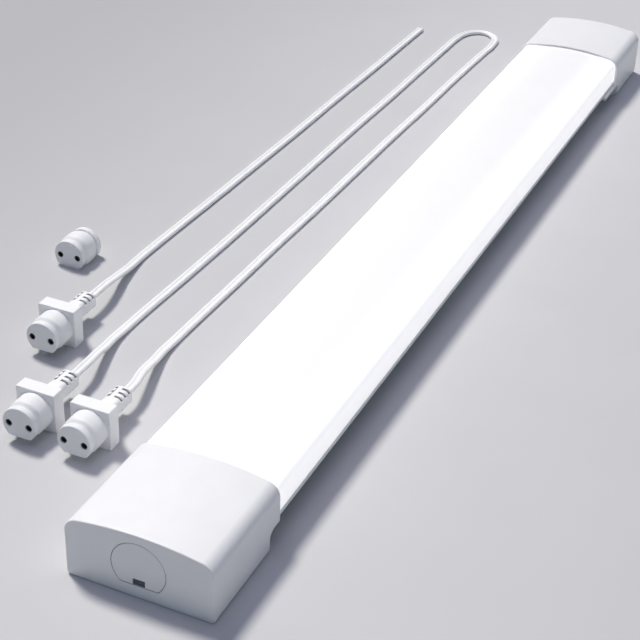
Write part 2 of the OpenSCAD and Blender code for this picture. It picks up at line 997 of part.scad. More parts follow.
// Outline of two round cores side by side with a groove between them
function twin_section() =
    let (r = cord_h / 2, c = (cord_w - cord_h) / 2)
    concat(
        [for (a = [-90 : 45 : 90]) [c + r * cos(a), r * sin(a)]],
        [[0, groove_h]],
        [for (a = [90 : 45 : 270]) [-c + r * cos(a), r * sin(a)]],
        [[0, -groove_h]]
    );

// A route with more points wherever two of its own lie further apart than step
function fine_route(route, step) = concat(
    [
        for (i = [0 : len(route) - 2])
            let (n = ceil(norm(route[i + 1] - route[i]) / step))
                for (k = [0 : n - 1])
                    route[i] + (route[i + 1] - route[i]) * k / n
    ],
    [route[len(route) - 1]]
);

// Live and neutral from one terminal block to the other, along the tray's side
module through_wires() {
    rear = half_len - block_x - block_len;
    out = rear - wire_stub;
    live_z = pass_z + live_rise;
    live = [
        [rear, wire_exit_y, live_z], [rear - wire_r, wire_exit_y, live_z],
        [out, wire_exit_y + wire_stub, live_z],
        [out, post_y, live_z - wire_stub], [out - wire_stub, live_y, live_z - 2 * wire_stub],
        [out - 4 * wire_stub, live_y, wire_floor], [out - 6 * wire_stub, live_y, wire_floor]
    ];
    neutral = [
        [rear, -wire_exit_y, pass_z], [rear - wire_r, -wire_exit_y, pass_z],
        [out, wire_stub - wire_exit_y, pass_z],
        [out, bead_y + bead_r + wire_stub, pass_z], [out, post_y, wire_floor],
        [out - wire_stub, neutral_y, wire_floor], [out - 4 * wire_stub, neutral_y, wire_floor]
    ];
    color("firebrick")
        for (way = [live, neutral])
            swept(
                concat(
                    [for (p = way) [-p[0], p[1], p[2]]],
                    [for (i = [len(way) - 1 : -1 : 0]) way[i]]
                ),
                round_section(wire_r, wire_sides)
            );
}

// From the near terminal block down to the driver board
module mains_leads() {
    rear = -half_len + block_x + block_len;
    pad_x = driver_x - driver_len / 2 + mains_pad_in;
    color("saddlebrown")
        for (side = [-1, 1])
            swept(
                [
                    [rear, side * mains_lead_y, mains_lead_z],
                    [rear + lead_stub, side * mains_lead_y, mains_lead_z],
                    [(rear + pad_x) / 2, side * (mains_lead_y + mains_pad_y) / 2, mains_lead_z + lead_r],
                    [pad_x - lead_r, side * mains_pad_y, mains_lead_z + lead_r],
                    [pad_x, side * mains_pad_y, driver_top + lead_stub],
                    [pad_x, side * mains_pad_y, driver_top]
                ],
                round_section(lead_r, wire_sides)
            );
}

// From the driver board over its edge to the first pads of the light boards
module light_leads() {
    edge = driver_x + driver_len / 2;
    pad_x = pad_in - board_gap / 2 - board_len;
    color("firebrick")
        for (side = [-1, 1], lane = [-lead_lane, lead_lane])
            swept(
                [
                    [edge - light_lead_in, side * light_lead_y + lane, driver_top],
                    [edge - light_lead_in, side * light_lead_y + lane, driver_top + lead_stub],
                    [edge, side * light_lead_y + lane, driver_top + 2 * lead_stub],
                    [edge + 2 * lead_stub, side * light_lead_y + lane, driver_top],
                    [pad_x - lead_stub, side * board_y + lane, chip_z + 2 * lead_stub],
                    [pad_x, side * board_y + lane, chip_z + lead_stub],
                    [pad_x, side * board_y + lane, chip_z]
                ],
                round_section(lead_r, wire_sides)
            );
}

// Turned outline of a nose: barrel, its flank down to a valley, and the ring at its end
function nose_outline(full_r, low_r, end_r, length, ring, flank) =
    let (run = length - ring, steps = 6, drop = (full_r - low_r) / 2)
    concat(
        [[0, 0], [full_r, 0]],
        [
            for (i = [0 : steps])
                [low_r + drop * (1 + cos(180 * i / steps)), run - flank * (1 - i / steps)]
        ],
        [
            [end_r, run + edge_r], [end_r, length - edge_r],
            [end_r - edge_r * (1 - cos(45)), length - edge_r * (1 - sin(45))],
            [end_r - edge_r, length], [0, length]
        ]
    );

// A body turned from an outline about X and cut flat below, its outline's length towards -X
module turned_x(outline, flat) {
    reach = 3 * nose_r;
    difference() {
        rotate([0, -90, 0])
            rotate_extrude()
                polygon(outline);
        translate([-reach, -reach, -flat - reach])
            cube([2 * reach, 2 * reach, reach]);
    }
}

// Hard nose of a connector, seated in the grip, with its two contact holes
module connector_nose() {
    color("whitesmoke")
        difference() {
            union() {
                turned_x(nose_outline(barrel_r, valley_r, nose_r, nose_len, ring_len, nose_flank), nose_flat);
                intersection() {
                    bar_x(nose_root_r, nose_root_len);
                    translate([0, -nose_r, -nose_flat])
                        cube([nose_root_len, 2 * nose_r, 2 * nose_r]);
                }
            }
            for (side = [-1, 1])
                translate([-nose_len, side * pin_span / 2, 0]) {
                    translate([-overrun, 0, 0])
                        bar_x(hole_r, lead_in + overrun);
                    translate([lead_in, 0, 0])
                        bar_x(sleeve_r + sleeve_gap, nose_len + nose_root_len);
                }
        }
}

// Tubular contacts, open towards the nose's end
module connector_contacts() {
    color("gold")
        for (side = [-1, 1])
            translate([lead_in - nose_len, side * pin_span / 2, 0])
                difference() {
                    bar_x(sleeve_r, nose_len - lead_in + nose_root_len);
                    translate([-overrun, 0, 0])
                        bar_x(hole_r, sleeve_len + overrun);
                }
}

// Rounded rectangle of one cross-section of the grip
function grip_ring(x, w, h, r) = [
    for (quarter = [0 : 3], i = [0 : corner_steps])
        let (
            a = 90 * (quarter + i / corner_steps),
            cy = (quarter == 0 || quarter == 3 ? 1 : -1) * (w / 2 - r),
            cz = (quarter < 2 ? 1 : -1) * (h / 2 - r)
        )
            [x, cy + r * cos(a), cz + r * sin(a)]
];

// Rings from the flange through the hollow-curved hood to the relief's end
function grip_rings() =
    let (relief_x = flange_t + grip_len, end_x = flange_t + grip_len + relief_len)
    concat(
        [grip_ring(0, flange_w, flange_w, flange_edge)],
        [
            for (i = [0 : grip_steps])
                let (s = i / grip_steps, k = pow(1 - s, grip_curve))
                    grip_ring(
                        flange_t + grip_len * s,
                        relief_w + (flange_w - relief_w) * k,
                        relief_h + (flange_w - relief_h) * k,
                        relief_corner + (flange_edge - relief_corner) * k
                    )
        ],
        [
            for (end = [[relief_nose, relief_end_in], [0, relief_nose]])
                grip_ring(
                    end_x - end[0],
                    relief_w - 2 * end[1],
                    relief_h - 2 * end[1],
                    relief_corner - end[1]
                )
        ]
    );

// Four cuts of one slot: a core round the cord, a low bridge at each side, and offset spines
module slot_corners() {
    big = relief_w + relief_h;
    difference() {
        square([big, big], center = true);
        square([big, slot_core_h], center = true);
        for (side = [-1, 1])
            translate([side * (relief_w - bridge_w) / 2, 0])
                square([bridge_w, bridge_h], center = true);
        translate([spine_low, 0])
            square([spine_high - spine_low, big / 2]);
        translate([-spine_high, -big / 2])
            square([spine_high - spine_low, big / 2]);
    }
}

// Moulded grip: square flange, hood that narrows in a hollow curve, slotted strain relief
module connector_grip() {
    rings = grip_rings();
    points = [for (ring = rings, p = ring) p];
    end_x = flange_t + grip_len + relief_len;
    color("white")
        difference() {
            polyhedron(
                points = points,
                faces = ring_faces(len(rings), len(rings[0])),
                convexity = 6
            );
            translate([-overrun, 0, 0])
                bar_x(nose_root_r + root_gap, nose_root_len + root_gap + overrun);
            for (i = [0 : 2])
                translate([end_x - last_slot_back - slot_w / 2 - i * slot_pitch, 0, 0])
                    along_x(slot_w)
                        slot_corners();
        }
}

// Coupler body: a turned barrel with a ring at each end, flat below
module coupler_body() {
    half = coupler_len / 2;
    low_r = coupler_r - (nose_r - valley_r);
    outline = nose_outline(coupler_belly_r, low_r, coupler_r, half, ring_len, coupler_flank);
    color("whitesmoke")
        translate([coupler_x + half, coupler_y, floor_z + coupler_flat])
            difference() {
                union() {
                    turned_x(outline, coupler_flat);
                    rotate([0, 0, 180])
                        turned_x(outline, coupler_flat);
                }
                for (side = [-1, 1])
                    translate([-half, side * pin_span / 2, 0]) {
                        translate([-overrun, 0, 0])
                            bar_x(hole_r, coupler_len + 2 * overrun);
                        translate([lead_in, 0, 0])
                            bar_x(sleeve_r + sleeve_gap, coupler_len - 2 * lead_in);
                    }
            }
}

module coupler_contacts() {
    color("gold")
        translate([coupler_x + lead_in, coupler_y, floor_z + coupler_flat])
            for (side = [-1, 1])
                translate([0, side * pin_span / 2, 0])
                    difference() {
                        bar_x(sleeve_r, coupler_len - 2 * lead_in);
                        translate([-overrun, 0, 0])
                            bar_x(hole_r, coupler_len);
                    }
}

// What lies on the floor, at its height above it
module on_floor(place) {
    translate([place[0], place[1], floor_z + place[2]])
        children();
}

module flat_cord(route) {
    color("white")
        translate([0, 0, floor_z])
            swept(fine_route(route, cord_step), twin_section());
}

base_tray();
diffuser();
near_end_cap();
far_end_cap();
near_socket_cover();
far_socket_cover();
near_socket_body();
far_socket_body();
near_contact_pins();
far_contact_pins();
near_terminal_block();
far_terminal_block();
socket_screws();
cap_screws();
light_board(-1, 1);  // near_left_light_board
light_board(-1, -1);  // near_right_light_board
light_board(1, 1);  // far_left_light_board
light_board(1, -1);  // far_right_light_board
light_chips(-1, 1);  // near_left_light_chips
light_chips(-1, -1);  // near_right_light_chips
light_chips(1, 1);  // far_left_light_chips
light_chips(1, -1);  // far_right_light_chips
board_links();
board_screws();
driver_board();
driver_transformer();
driver_capacitors();
driver_choke();
driver_fuse();
driver_rectifier();
driver_insulator();
driver_spacers();
driver_screws();
mains_leads();
through_wires();
light_leads();
coupler_body();
coupler_contacts();
on_floor(power_place) connector_nose();  // power_connector_nose
on_floor(power_place) connector_grip();  // power_connector_grip
on_floor(power_place) connector_contacts();  // power_connector_contacts
flat_cord(power_cord_route);  // power_cord
on_floor(link_a_place) connector_nose();  // link_connector_a_nose
on_floor(link_a_place) connector_grip();  // link_connector_a_grip
on_floor(link_a_place) connector_contacts();  // link_connector_a_contacts
on_floor(link_b_place) connector_nose();  // link_connector_b_nose
on_floor(link_b_place) connector_grip();  // link_connector_b_grip
on_floor(link_b_place) connector_contacts();  // link_connector_b_contacts
flat_cord(link_cord_route);  // link_cord
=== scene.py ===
import math

import bpy
from mathutils import Matrix, Vector


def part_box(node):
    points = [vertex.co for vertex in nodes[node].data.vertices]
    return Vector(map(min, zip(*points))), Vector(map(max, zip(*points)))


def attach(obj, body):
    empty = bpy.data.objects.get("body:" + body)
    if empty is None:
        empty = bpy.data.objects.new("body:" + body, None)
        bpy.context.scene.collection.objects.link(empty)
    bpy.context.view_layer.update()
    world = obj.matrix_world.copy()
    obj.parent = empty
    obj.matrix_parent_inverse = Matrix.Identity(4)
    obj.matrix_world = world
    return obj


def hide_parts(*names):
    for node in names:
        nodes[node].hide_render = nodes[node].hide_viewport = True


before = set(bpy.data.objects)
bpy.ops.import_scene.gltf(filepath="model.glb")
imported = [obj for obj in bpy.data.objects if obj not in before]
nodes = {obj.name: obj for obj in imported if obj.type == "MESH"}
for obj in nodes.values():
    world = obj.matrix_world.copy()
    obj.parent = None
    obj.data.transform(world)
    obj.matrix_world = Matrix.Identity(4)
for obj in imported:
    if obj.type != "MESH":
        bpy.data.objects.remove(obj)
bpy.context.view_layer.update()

mm = 0.001


def boxOf(node):
    # lowest and highest corner in millimetres, to a hundredth
    return [[round(c / mm, 2) for c in corner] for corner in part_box(node)]


def placeOf(node):
    # the middle of the node's low end along the light
    low, high = boxOf(node)
    return low[0], round((low[1] + high[1]) / 2, 2), round((low[2] + high[2]) / 2, 2)


capLow, capHigh = boxOf("near_end_cap")
endX, floorZ = capLow[0], capLow[2]
print("frame loaded:", len(nodes), "nodes")


# camera, at the photo's angle

photoCamera = {
    "eye": (-1018.48, -354.63, 585.09),
    "yaw": 23.7715,
    "pitch": 31.8158,
    "roll": 1.9762,
    "lens": 85.57,
    "sensor": 36,
    "clip": (0.01, 50),     # metres
}


def makeCamera(s):
    yaw, pitch, roll = (math.radians(s[k]) for k in ("yaw", "pitch", "roll"))
    ahead = Vector((math.cos(yaw) * math.cos(pitch), math.sin(yaw) * math.cos(pitch), -math.sin(pitch)))
    right = ahead.cross(Vector((0, 0, 1))).normalized()
    up = right.cross(ahead)
    side = right * math.cos(roll) + up * math.sin(roll)
    top = up * math.cos(roll) - right * math.sin(roll)
    data = bpy.data.cameras.new("photoCamera")
    data.sensor_width, data.lens = s["sensor"], s["lens"]
    data.clip_start, data.clip_end = s["clip"]
    camera = bpy.data.objects.new("photoCamera", data)
    bpy.context.scene.collection.objects.link(camera)
    turn = Matrix((side, top, -ahead)).transposed().to_4x4()
    camera.matrix_world = Matrix.Translation(Vector(s["eye"]) * mm) @ turn
    bpy.context.scene.camera = camera


makeCamera(photoCamera)
print("camera made")


def pickOnly(piece):
    bpy.ops.object.select_all(action="DESELECT")
    piece.select_set(True)
    bpy.context.view_layer.objects.active = piece


# the two flat twin cords; a route's heights are over the floor

twinCord = {
    "core": 1.825,      # radius of each round half
    "lap": 148.6,       # degrees of each half that show before the web
    "steps": 16,
    "smooth": 5,        # sections to each step of the route
    "pathSteps": 4,
    "smoothAngle": 50,
}
powerRoute = [
    (-207, 190, 15), (-195, 190, 15), (-182, 191, 14), (-168, 193, 11), (-152, 196, 7),
    (-136, 198, 4), (-118, 200, 2.2), (-98, 200, 1.9), (-60, 199, 1.9), (0, 197, 1.9),
    (80, 195, 1.9), (160, 193, 1.9), (240, 192, 1.9), (320, 190, 1.9), (400, 189, 1.9),
    (457, 188, 1.9),
]
linkRoute = [
    (-301, 145, 15), (-289, 145, 15), (-276, 146, 14), (-262, 149, 11), (-247, 152, 7),
    (-231, 155, 4), (-213, 156, 2.2), (-193, 156, 1.9), (-130, 154, 1.9), (-50, 152, 1.9),
    (30, 151, 1.9), (110, 150, 1.9), (190, 149, 1.9), (270, 147, 1.9), (350, 146, 1.9),
    (420, 145, 1.9), (452, 144, 1.9), (466, 141, 1.9), (476, 134, 1.9), (480, 125, 1.9),
    (477, 115, 1.9), (468, 107, 1.9), (454, 104, 1.9), (420, 105, 1.9), (350, 107, 1.9),
    (270, 108, 1.9), (190, 110, 1.9), (110, 111, 1.9), (30, 112, 1.9), (-50, 114, 1.9),
    (-130, 115, 1.9), (-190, 116, 1.9), (-212, 116, 2.2), (-230, 115, 4), (-246, 112, 7),
    (-261, 109, 11), (-275, 106, 14), (-289, 103, 15), (-301, 103, 15),
]


def addCurve(name, points, flat=False):
    data = bpy.data.curves.new(name, "CURVE")
    data.dimensions = "2D" if flat else "3D"
    spline = data.splines.new("POLY" if flat else "BEZIER")
    if flat:
        spline.points.add(len(points) - 1)
        for place, point in zip(spline.points, points):
            place.co = (point[0] * mm, point[1] * mm, 0, 1)
        spline.use_cyclic_u = True
        data.fill_mode = "NONE"
    else:
        spline.bezier_points.add(len(points) - 1)
        for place, point in zip(spline.bezier_points, points):
            place.co = Vector(point) * mm
            place.handle_left_type = place.handle_right_type = "AUTO"
    curve = bpy.data.objects.new(name, data)
    bpy.context.scene.collection.objects.link(curve)
    return curve


def twinProfile(s):
    # two round halves with a thin web between them, lying flat
    points = []
    for side in (0, 180):
        centre = s["core"] * math.cos(math.radians(side))
        for i in range(s["steps"] + 1):
            a = math.radians(side - s["lap"] + 2 * s["lap"] * i / s["steps"])
            points.append((centre + s["core"] * math.cos(a), s["core"] * math.sin(a)))
    return addCurve("cordProfile", points, flat=True)


def layCord(name, route, s):
    profile = twinProfile(s)
    cord = addCurve(name, [(x, y, z + floorZ) for x, y, z in route])
    cord.data.twist_mode = "Z_UP"
    cord.data.resolution_u = s["smooth"]
    cord.data.bevel_mode = "OBJECT"
    cord.data.bevel_object = profile
    cord.data.use_fill_caps = True
    pickOnly(cord)
    bpy.ops.object.convert(target="MESH")
    bpy.data.objects.remove(profile)
    bpy.ops.object.mode_set(mode="EDIT")
    bpy.ops.mesh.select_all(action="SELECT")
    bpy.ops.mesh.remove_doubles(threshold=0.0001 * mm)
    bpy.ops.mesh.normals_make_consistent(inside=False)
    bpy.ops.object.mode_set(mode="OBJECT")
    bpy.ops.object.shade_smooth_by_angle(angle=math.radians(s["smoothAngle"]))
    return cord


def smoothPath(route):
    # the points that a smooth line through the route passes, a few to each step
    curve = addCurve("cordPath", [(x, y, z + floorZ) for x, y, z in route])
    curve.data.resolution_u = twinCord["pathSteps"]
    pickOnly(curve)
    bpy.ops.object.convert(target="MESH")
    path = [tuple(v.co) for v in curve.data.vertices]
    bpy.data.objects.remove(curve)
    return path


powerCord = layCord("power_cord_flex", powerRoute, twinCord)
linkCord = layCord("link_cord_flex", linkRoute, twinCord)
print("cords laid")


# modelling helpers

def addPiece(name, kind, **options):
    # a primitive at its size and place, with nothing else selected
    bpy.ops.object.select_all(action="DESELECT")
    getattr(bpy.ops.mesh, "primitive_" + kind + "_add")(**options)
    bpy.ops.object.transform_apply(location=True, rotation=True, scale=True)
    piece = bpy.context.object
    piece.name = piece.data.name = name
    return piece


def pick(piece, part, test):
    # selects what passes the test: ends of an edge, middle and normal of a face, place of a vertex
    bpy.ops.mesh.select_mode(type=part)
    bpy.ops.mesh.select_all(action="DESELECT")
    bpy.ops.object.mode_set(mode="OBJECT")
    mesh = piece.data
    if part == "FACE":
        for face in mesh.polygons:
            face.select = test(face.center / mm, face.normal)
    elif part == "EDGE":
        for edge in mesh.edges:
            a, b = (mesh.vertices[i].co / mm for i in edge.vertices)
            edge.select = test(a, b)
    else:
        for vertex in mesh.vertices:
            vertex.select = test(vertex.co / mm)
    bpy.ops.object.mode_set(mode="EDIT")


def near(a, b, slack=0.02):
    return abs(a - b) < slack


def startLine(name, x, y, z):
    # one vertex at the first point
    piece = addPiece(name, "plane", size=mm)
    bpy.ops.object.mode_set(mode="EDIT")
    bpy.ops.mesh.select_mode(type="VERT")
    bpy.ops.mesh.select_all(action="SELECT")
    bpy.ops.mesh.merge(type="CENTER")
    bpy.ops.transform.translate(value=(x * mm, y * mm, z * mm))
    return piece


def drawOutline(name, x, start, moves):
    # an outline across the light: lines to (y, z), and arcs as (centre y, centre z, degrees, steps)
    piece = startLine(name, x, *start)
    at = start
    for move in moves:
        if len(move) == 2:
            step = (0, (move[0] - at[0]) * mm, (move[1] - at[1]) * mm)
            bpy.ops.mesh.extrude_vertices_move(TRANSFORM_OT_translate={"value": step})
            at = move
        else:
            cy, cz, turn, steps = move
            a = math.radians(turn)
            centre = (x * mm, cy * mm, cz * mm)
            bpy.ops.mesh.spin(steps=steps, angle=-a, center=centre, axis=(1, 0, 0))
            dy, dz = at[0] - cy, at[1] - cz
            at = (cy + dy * math.cos(a) - dz * math.sin(a), cz + dy * math.sin(a) + dz * math.cos(a))
    bpy.ops.mesh.select_all(action="SELECT")
    bpy.ops.mesh.remove_doubles(threshold=0.005 * mm)
    bpy.ops.mesh.edge_face_add()
    return piece


def extrudeX(length):
    bpy.ops.mesh.extrude_region_move(TRANSFORM_OT_translate={"value": (length * mm, 0, 0)})


def tidyMesh():
    bpy.ops.mesh.select_all(action="SELECT")
    bpy.ops.mesh.remove_doubles(threshold=0.001 * mm)
    bpy.ops.mesh.normals_make_consistent(inside=False)
    bpy.ops.object.mode_set(mode="OBJECT")


def copyPiece(piece, name, move=None):
    twin = piece.copy()
    twin.data = piece.data.copy()
    twin.name = twin.data.name = name
    bpy.context.scene.collection.objects.link(twin)
    if move is not None:
        twin.data.transform(move)
    return twin


def shift(x, y, z):
    return Matrix.Translation((x * mm, y * mm, z * mm))


def cut(piece, tools, how="DIFFERENCE"):
    # each tool is used up
    for tool in tools:
        pickOnly(piece)
        modifier = piece.modifiers.new("cut", "BOOLEAN")
        modifier.operation, modifier.solver, modifier.object = how, "EXACT", tool
        bpy.ops.object.modifier_apply(modifier=modifier.name)
        bpy.data.objects.remove(tool)


def joinPieces(pieces):
    pickOnly(pieces[0])
    for piece in pieces:
        piece.select_set(True)
    bpy.ops.object.join()
    return pieces[0]


def finishPiece(piece, edge, segments=2, limit=40, smooth=45):
    # softens the sharp edges and shades the curves smooth
    pickOnly(piece)
    bevel = piece.modifiers.new("softEdges", "BEVEL")
    bevel.width, bevel.segments = edge * mm, segments
    bevel.limit_method, bevel.angle_limit = "ANGLE", math.radians(limit)
    bevel.miter_outer = "MITER_ARC"
    bpy.ops.object.modifier_apply(modifier=bevel.name)
    bpy.ops.object.shade_smooth_by_angle(angle=math.radians(smooth))
    weights = piece.modifiers.new("evenShade", "WEIGHTED_NORMAL")
    weights.keep_sharp, weights.weight = True, 80
    bpy.ops.object.modifier_apply(modifier=weights.name)


def markPaintedShade(piece, depth):
    # keeps how deep in a hole or slot each vertex lies, 0 to 1, for the material to paint shade there
    marks = piece.data.attributes.new("deep", "FLOAT", "POINT")
    for vertex, mark in zip(piece.data.vertices, marks.data):
        mark.value = min(1, max(0, depth(vertex.co / mm)))


def dOutline(r, flat, z, steps=56):
    # a circle about the height z, cut flat below, from the right end of the flat
    a = math.asin(flat / r)
    start = (r * math.cos(a), z - flat)
    return start, [(0, z, 180 + 2 * math.degrees(a), steps), start]


def barX(name, r, x0, x1, y, z, sides=32):
    return addPiece(
        name, "cylinder", vertices=sides, radius=r * mm, depth=(x1 - x0) * mm,
        location=((x0 + x1) / 2 * mm, y * mm, z * mm), rotation=(0, math.pi / 2, 0),
    )


def barZ(name, r, z0, z1, x, y, sides=32):
    return addPiece(
        name, "cylinder", vertices=sides, radius=r * mm, depth=(z1 - z0) * mm,
        location=(x * mm, y * mm, (z0 + z1) / 2 * mm),
    )


def block(name, low, high):
    piece = addPiece(name, "cube", size=mm)
    centre = Vector(low) + Vector(high)
    size = Vector(high) - Vector(low)
    piece.data.transform(Matrix.Translation(centre / 2 * mm) @ Matrix.Diagonal((*size, 1)))
    return piece


halfTurn = Matrix.Rotation(math.pi, 4, "Z")
over = 1.0           # how far a tool stands out of what it cuts, or a lug into what it joins
roundSteps = 3       # facets of a small rounded edge


# the crowned section that the caps and the diffuser share

crown = {
    "halfWidth": capHigh[1],
    "top": capHigh[2],
    "radius": 224.0,
    "shoulder": 10.0,
    "foot": 2.8,
    "shoulderSteps": 16,
    "crownSteps": 28,
    "footSteps": 6,
}


def crownArcs(inset, forward=True):
    # shoulder, crown, shoulder, from the left side over to the right or back again
    s = crown
    cy = s["halfWidth"] - s["shoulder"]
    rise = math.sqrt((s["radius"] - s["shoulder"]) ** 2 - cy ** 2)
    cz = s["top"] - s["radius"] + rise
    lean = math.degrees(math.atan2(cy, rise))
    way = 1 if forward else -1
    arcs = [
        (way * cy, cz, way * (90 - lean), s["shoulderSteps"]),
        (0, s["top"] - s["radius"], way * 2 * lean, s["crownSteps"]),
        (-way * cy, cz, way * (90 - lean), s["shoulderSteps"]),
    ]
    return s["halfWidth"] - inset, cz, arcs


def capOutline(inset, split):
    s = crown
    w, cz, arcs = crownArcs(inset)
    r = s["foot"] - inset
    low = floorZ + inset
    start = (w - r, low)
    moves = [(w - r, low + r, 90, s["footSteps"]), (w, split), (w, cz)]
    moves += arcs
    moves += [(-w, split), (-w, low + r), (-(w - r), low + r, 90, s["footSteps"]), start]
    return start, moves


# the end caps: hood, foot, fillet, tongue, posts and bosses

endCap = {
    "hood": 83.0,
    "foot": 69.7,
    "wall": 1.7,
    "face": 2.4,
    "frontEdge": 1.0,
    "fillet": 5.4,
    "filletSteps": 8,
    "tongue": (45.0, 5.0, 3.0),         # length, width, thickness
    "post": (58.0, 30.0, 5.0),          # from the end, to the side, radius
    "bore": (3.8, 3.5, 1.9),            # radius, web left above it, radius of the hole in the web
    "boss": (25.0, 3.2, 6.0, 1.35),     # to the side, radius, length, radius of its hole
    "pilotSides": 20,
    "socketZ": 7.1,
    "opening": (18.25, 13.25),          # radius, and the flat below the middle
    "soft": 0.3,
    "shade": (0.35, 4.0, 0.05),         # painted shade on the opening's wall: fully dark from, as far as, and how far out
    "hair": 0.02,                       # keeps the hollow's floor off the hood's lower edge
    "finer": 0.004,                     # tells the hollow's split from the hair beside it
    "flatAngle": 0.3,
}


def steppedBody(name, x0, x1, x2, outline, split):
    # the whole section as far as x1, and only what is above the split as far as x2
    piece = drawOutline(name, x0, *outline)
    extrudeX(x1 - x0)
    pick(piece, "VERT", lambda v: near(v.x, x1) and near(v.z, split, endCap["finer"]))
    bpy.ops.mesh.vert_connect_path()
    pick(piece, "FACE", lambda c, n: near(c.x, x1) and c.z > split)
    extrudeX(x2 - x1)
    bpy.ops.mesh.select_all(action="SELECT")
    bpy.ops.mesh.normals_make_consistent(inside=False)
    bpy.ops.mesh.dissolve_limited(angle_limit=math.radians(endCap["flatAngle"]))
    return piece


def roundFront(piece, radius):
    pick(piece, "EDGE", lambda a, b: near(a.x, endX) and near(b.x, endX))
    bpy.ops.mesh.bevel(offset=radius * mm, segments=roundSteps, affect="EDGES")


def makeEndCap(name, s):
    z = s["socketZ"]
    stepX = endX + s["foot"]
    cap = steppedBody(name, endX, stepX, endX + s["hood"], capOutline(0, 0), 0)
    pick(cap, "EDGE", lambda a, b: near(a.x, stepX) and near(b.x, stepX) and near(a.z, 0) and near(b.z, 0))
    bpy.ops.mesh.bevel(offset=s["fillet"] * mm, segments=s["filletSteps"], affect="EDGES")
    roundFront(cap, s["frontEdge"])
    tidyMesh()
    hollow = steppedBody(
        "capHollow", endX + s["face"], stepX - s["wall"], endX + s["hood"] + over,
        capOutline(s["wall"], -s["hair"]), -s["hair"],
    )
    tidyMesh()
    cut(cap, [hollow])
    postX, postY, postR = s["post"]
    bossY, bossR, bossLen, bossHole = s["boss"]
    length, width, thick = s["tongue"]
    outer = crown["halfWidth"]
    low, high = (stepX - over, outer - width, -thick), (stepX + length, outer, -s["hair"] / 2)
    added = [block("tongue", low, high)]
    bossEnd = endX + s["face"] + bossLen
    for side in (-1, 1):
        added.append(barZ("post", postR, floorZ + over, 0, endX + postX, side * postY))
        added.append(barX("boss", bossR, endX + over, bossEnd, side * bossY, z))
    cut(cap, added, "UNION")
    boreR, web, holeR = s["bore"]
    taken = [drawOutline("opening", endX - over, *dOutline(*s["opening"], z))]
    extrudeX(s["face"] + 2 * over)
    tidyMesh()
    for side in (-1, 1):
        taken.append(barZ("bore", boreR, floorZ - over, -web, endX + postX, side * postY))
        taken.append(barZ("hole", holeR, -web - over, over, endX + postX, side * postY))
        start = endX + s["face"] + over
        taken.append(barX("pilot", bossHole, start, bossEnd + over, side * bossY, z, s["pilotSides"]))
    cut(cap, taken)
    finishPiece(cap, s["soft"])
    darkAt, reach, wider = s["shade"]

    # painted shade on the opening's wall, darker further in from the front
    def openingDepth(v):
        inside = math.hypot(v.y, v.z - z) < s["opening"][0] + wider and v.x < endX + reach
        return (v.x - endX) / darkAt if inside else 0

    markPaintedShade(cap, openingDepth)
    return cap


nearCap = makeEndCap("near_cap_moulding", endCap)
farCap = copyPiece(nearCap, "far_cap_moulding", halfTurn)
print("end caps made")


# the push-in socket covers

cover = {
    "disc": (18.0, 13.0),       # radius, and the flat below the middle
    "thick": 2.4,
    "frontEdge": 0.5,
    "notch": (8.2, 4.9),        # width, height
    "skirt": (13.55, 9.65),
    "skirtLength": 3.6,
    "skirtWall": 1.3,
    "lap": 0.6,                 # how far the skirt stands in the disc
    "split": 2.6,
    "soft": 0.15,
    # depth behind the front face at which the painted shade is full
    "darkAt": 0.45,
}


def makeCover(name, s):
    z = endCap["socketZ"]
    backX = endX + s["thick"]
    endOfSkirt = backX + s["skirtLength"] + over
    disc = drawOutline(name, endX, *dOutline(*s["disc"], z))
    extrudeX(s["thick"])
    roundFront(disc, s["frontEdge"])
    tidyMesh()
    skirt = drawOutline("skirt", backX - s["lap"], *dOutline(*s["skirt"], z))
    extrudeX(s["skirtLength"] + s["lap"])
    bpy.ops.mesh.inset(thickness=s["skirtWall"] * mm)
    extrudeX(-s["skirtLength"])
    tidyMesh()
    gaps = []
    for across in ((1, 0), (0, 1)):
        reach = [s["disc"][0] if k else s["split"] / 2 for k in across]
        gaps.append(block("gap", (backX, -reach[0], z - reach[1]), (endOfSkirt, reach[0], z + reach[1])))
    cut(skirt, gaps)
    cut(disc, [skirt], "UNION")
    width, height = s["notch"]
    flatZ = z - s["disc"][1]
    low, high = (endX - over, -width / 2, flatZ - over), (endOfSkirt, width / 2, flatZ + height)
    cut(disc, [block("notch", low, high)])
    finishPiece(disc, s["soft"])
    # painted shade on all that lies behind the front face, the notch's walls among it
    markPaintedShade(disc, lambda v: (v.x - endX) / s["darkAt"])
    return disc


nearCover = makeCover("near_cover_moulding", cover)
farCover = copyPiece(nearCover, "far_cover_moulding", halfTurn)
print("covers made")


# the opal diffuser

diffuser = {
    "length": 788.0,
    "inset": 1.9,
    "wall": 1.6,
    "low": 5.5,
    "side": (46.3, 4.2),        # inside of the thin outer side, and its lower edge
    "floor": 6.9,
    "webOut": 40.0,
    "webIn": 38.6,
    "lip": (43.6, 2.7, 4.1),    # outer edge, underside, top
    "soft": 0.2,
    "softLimit": 50,
}


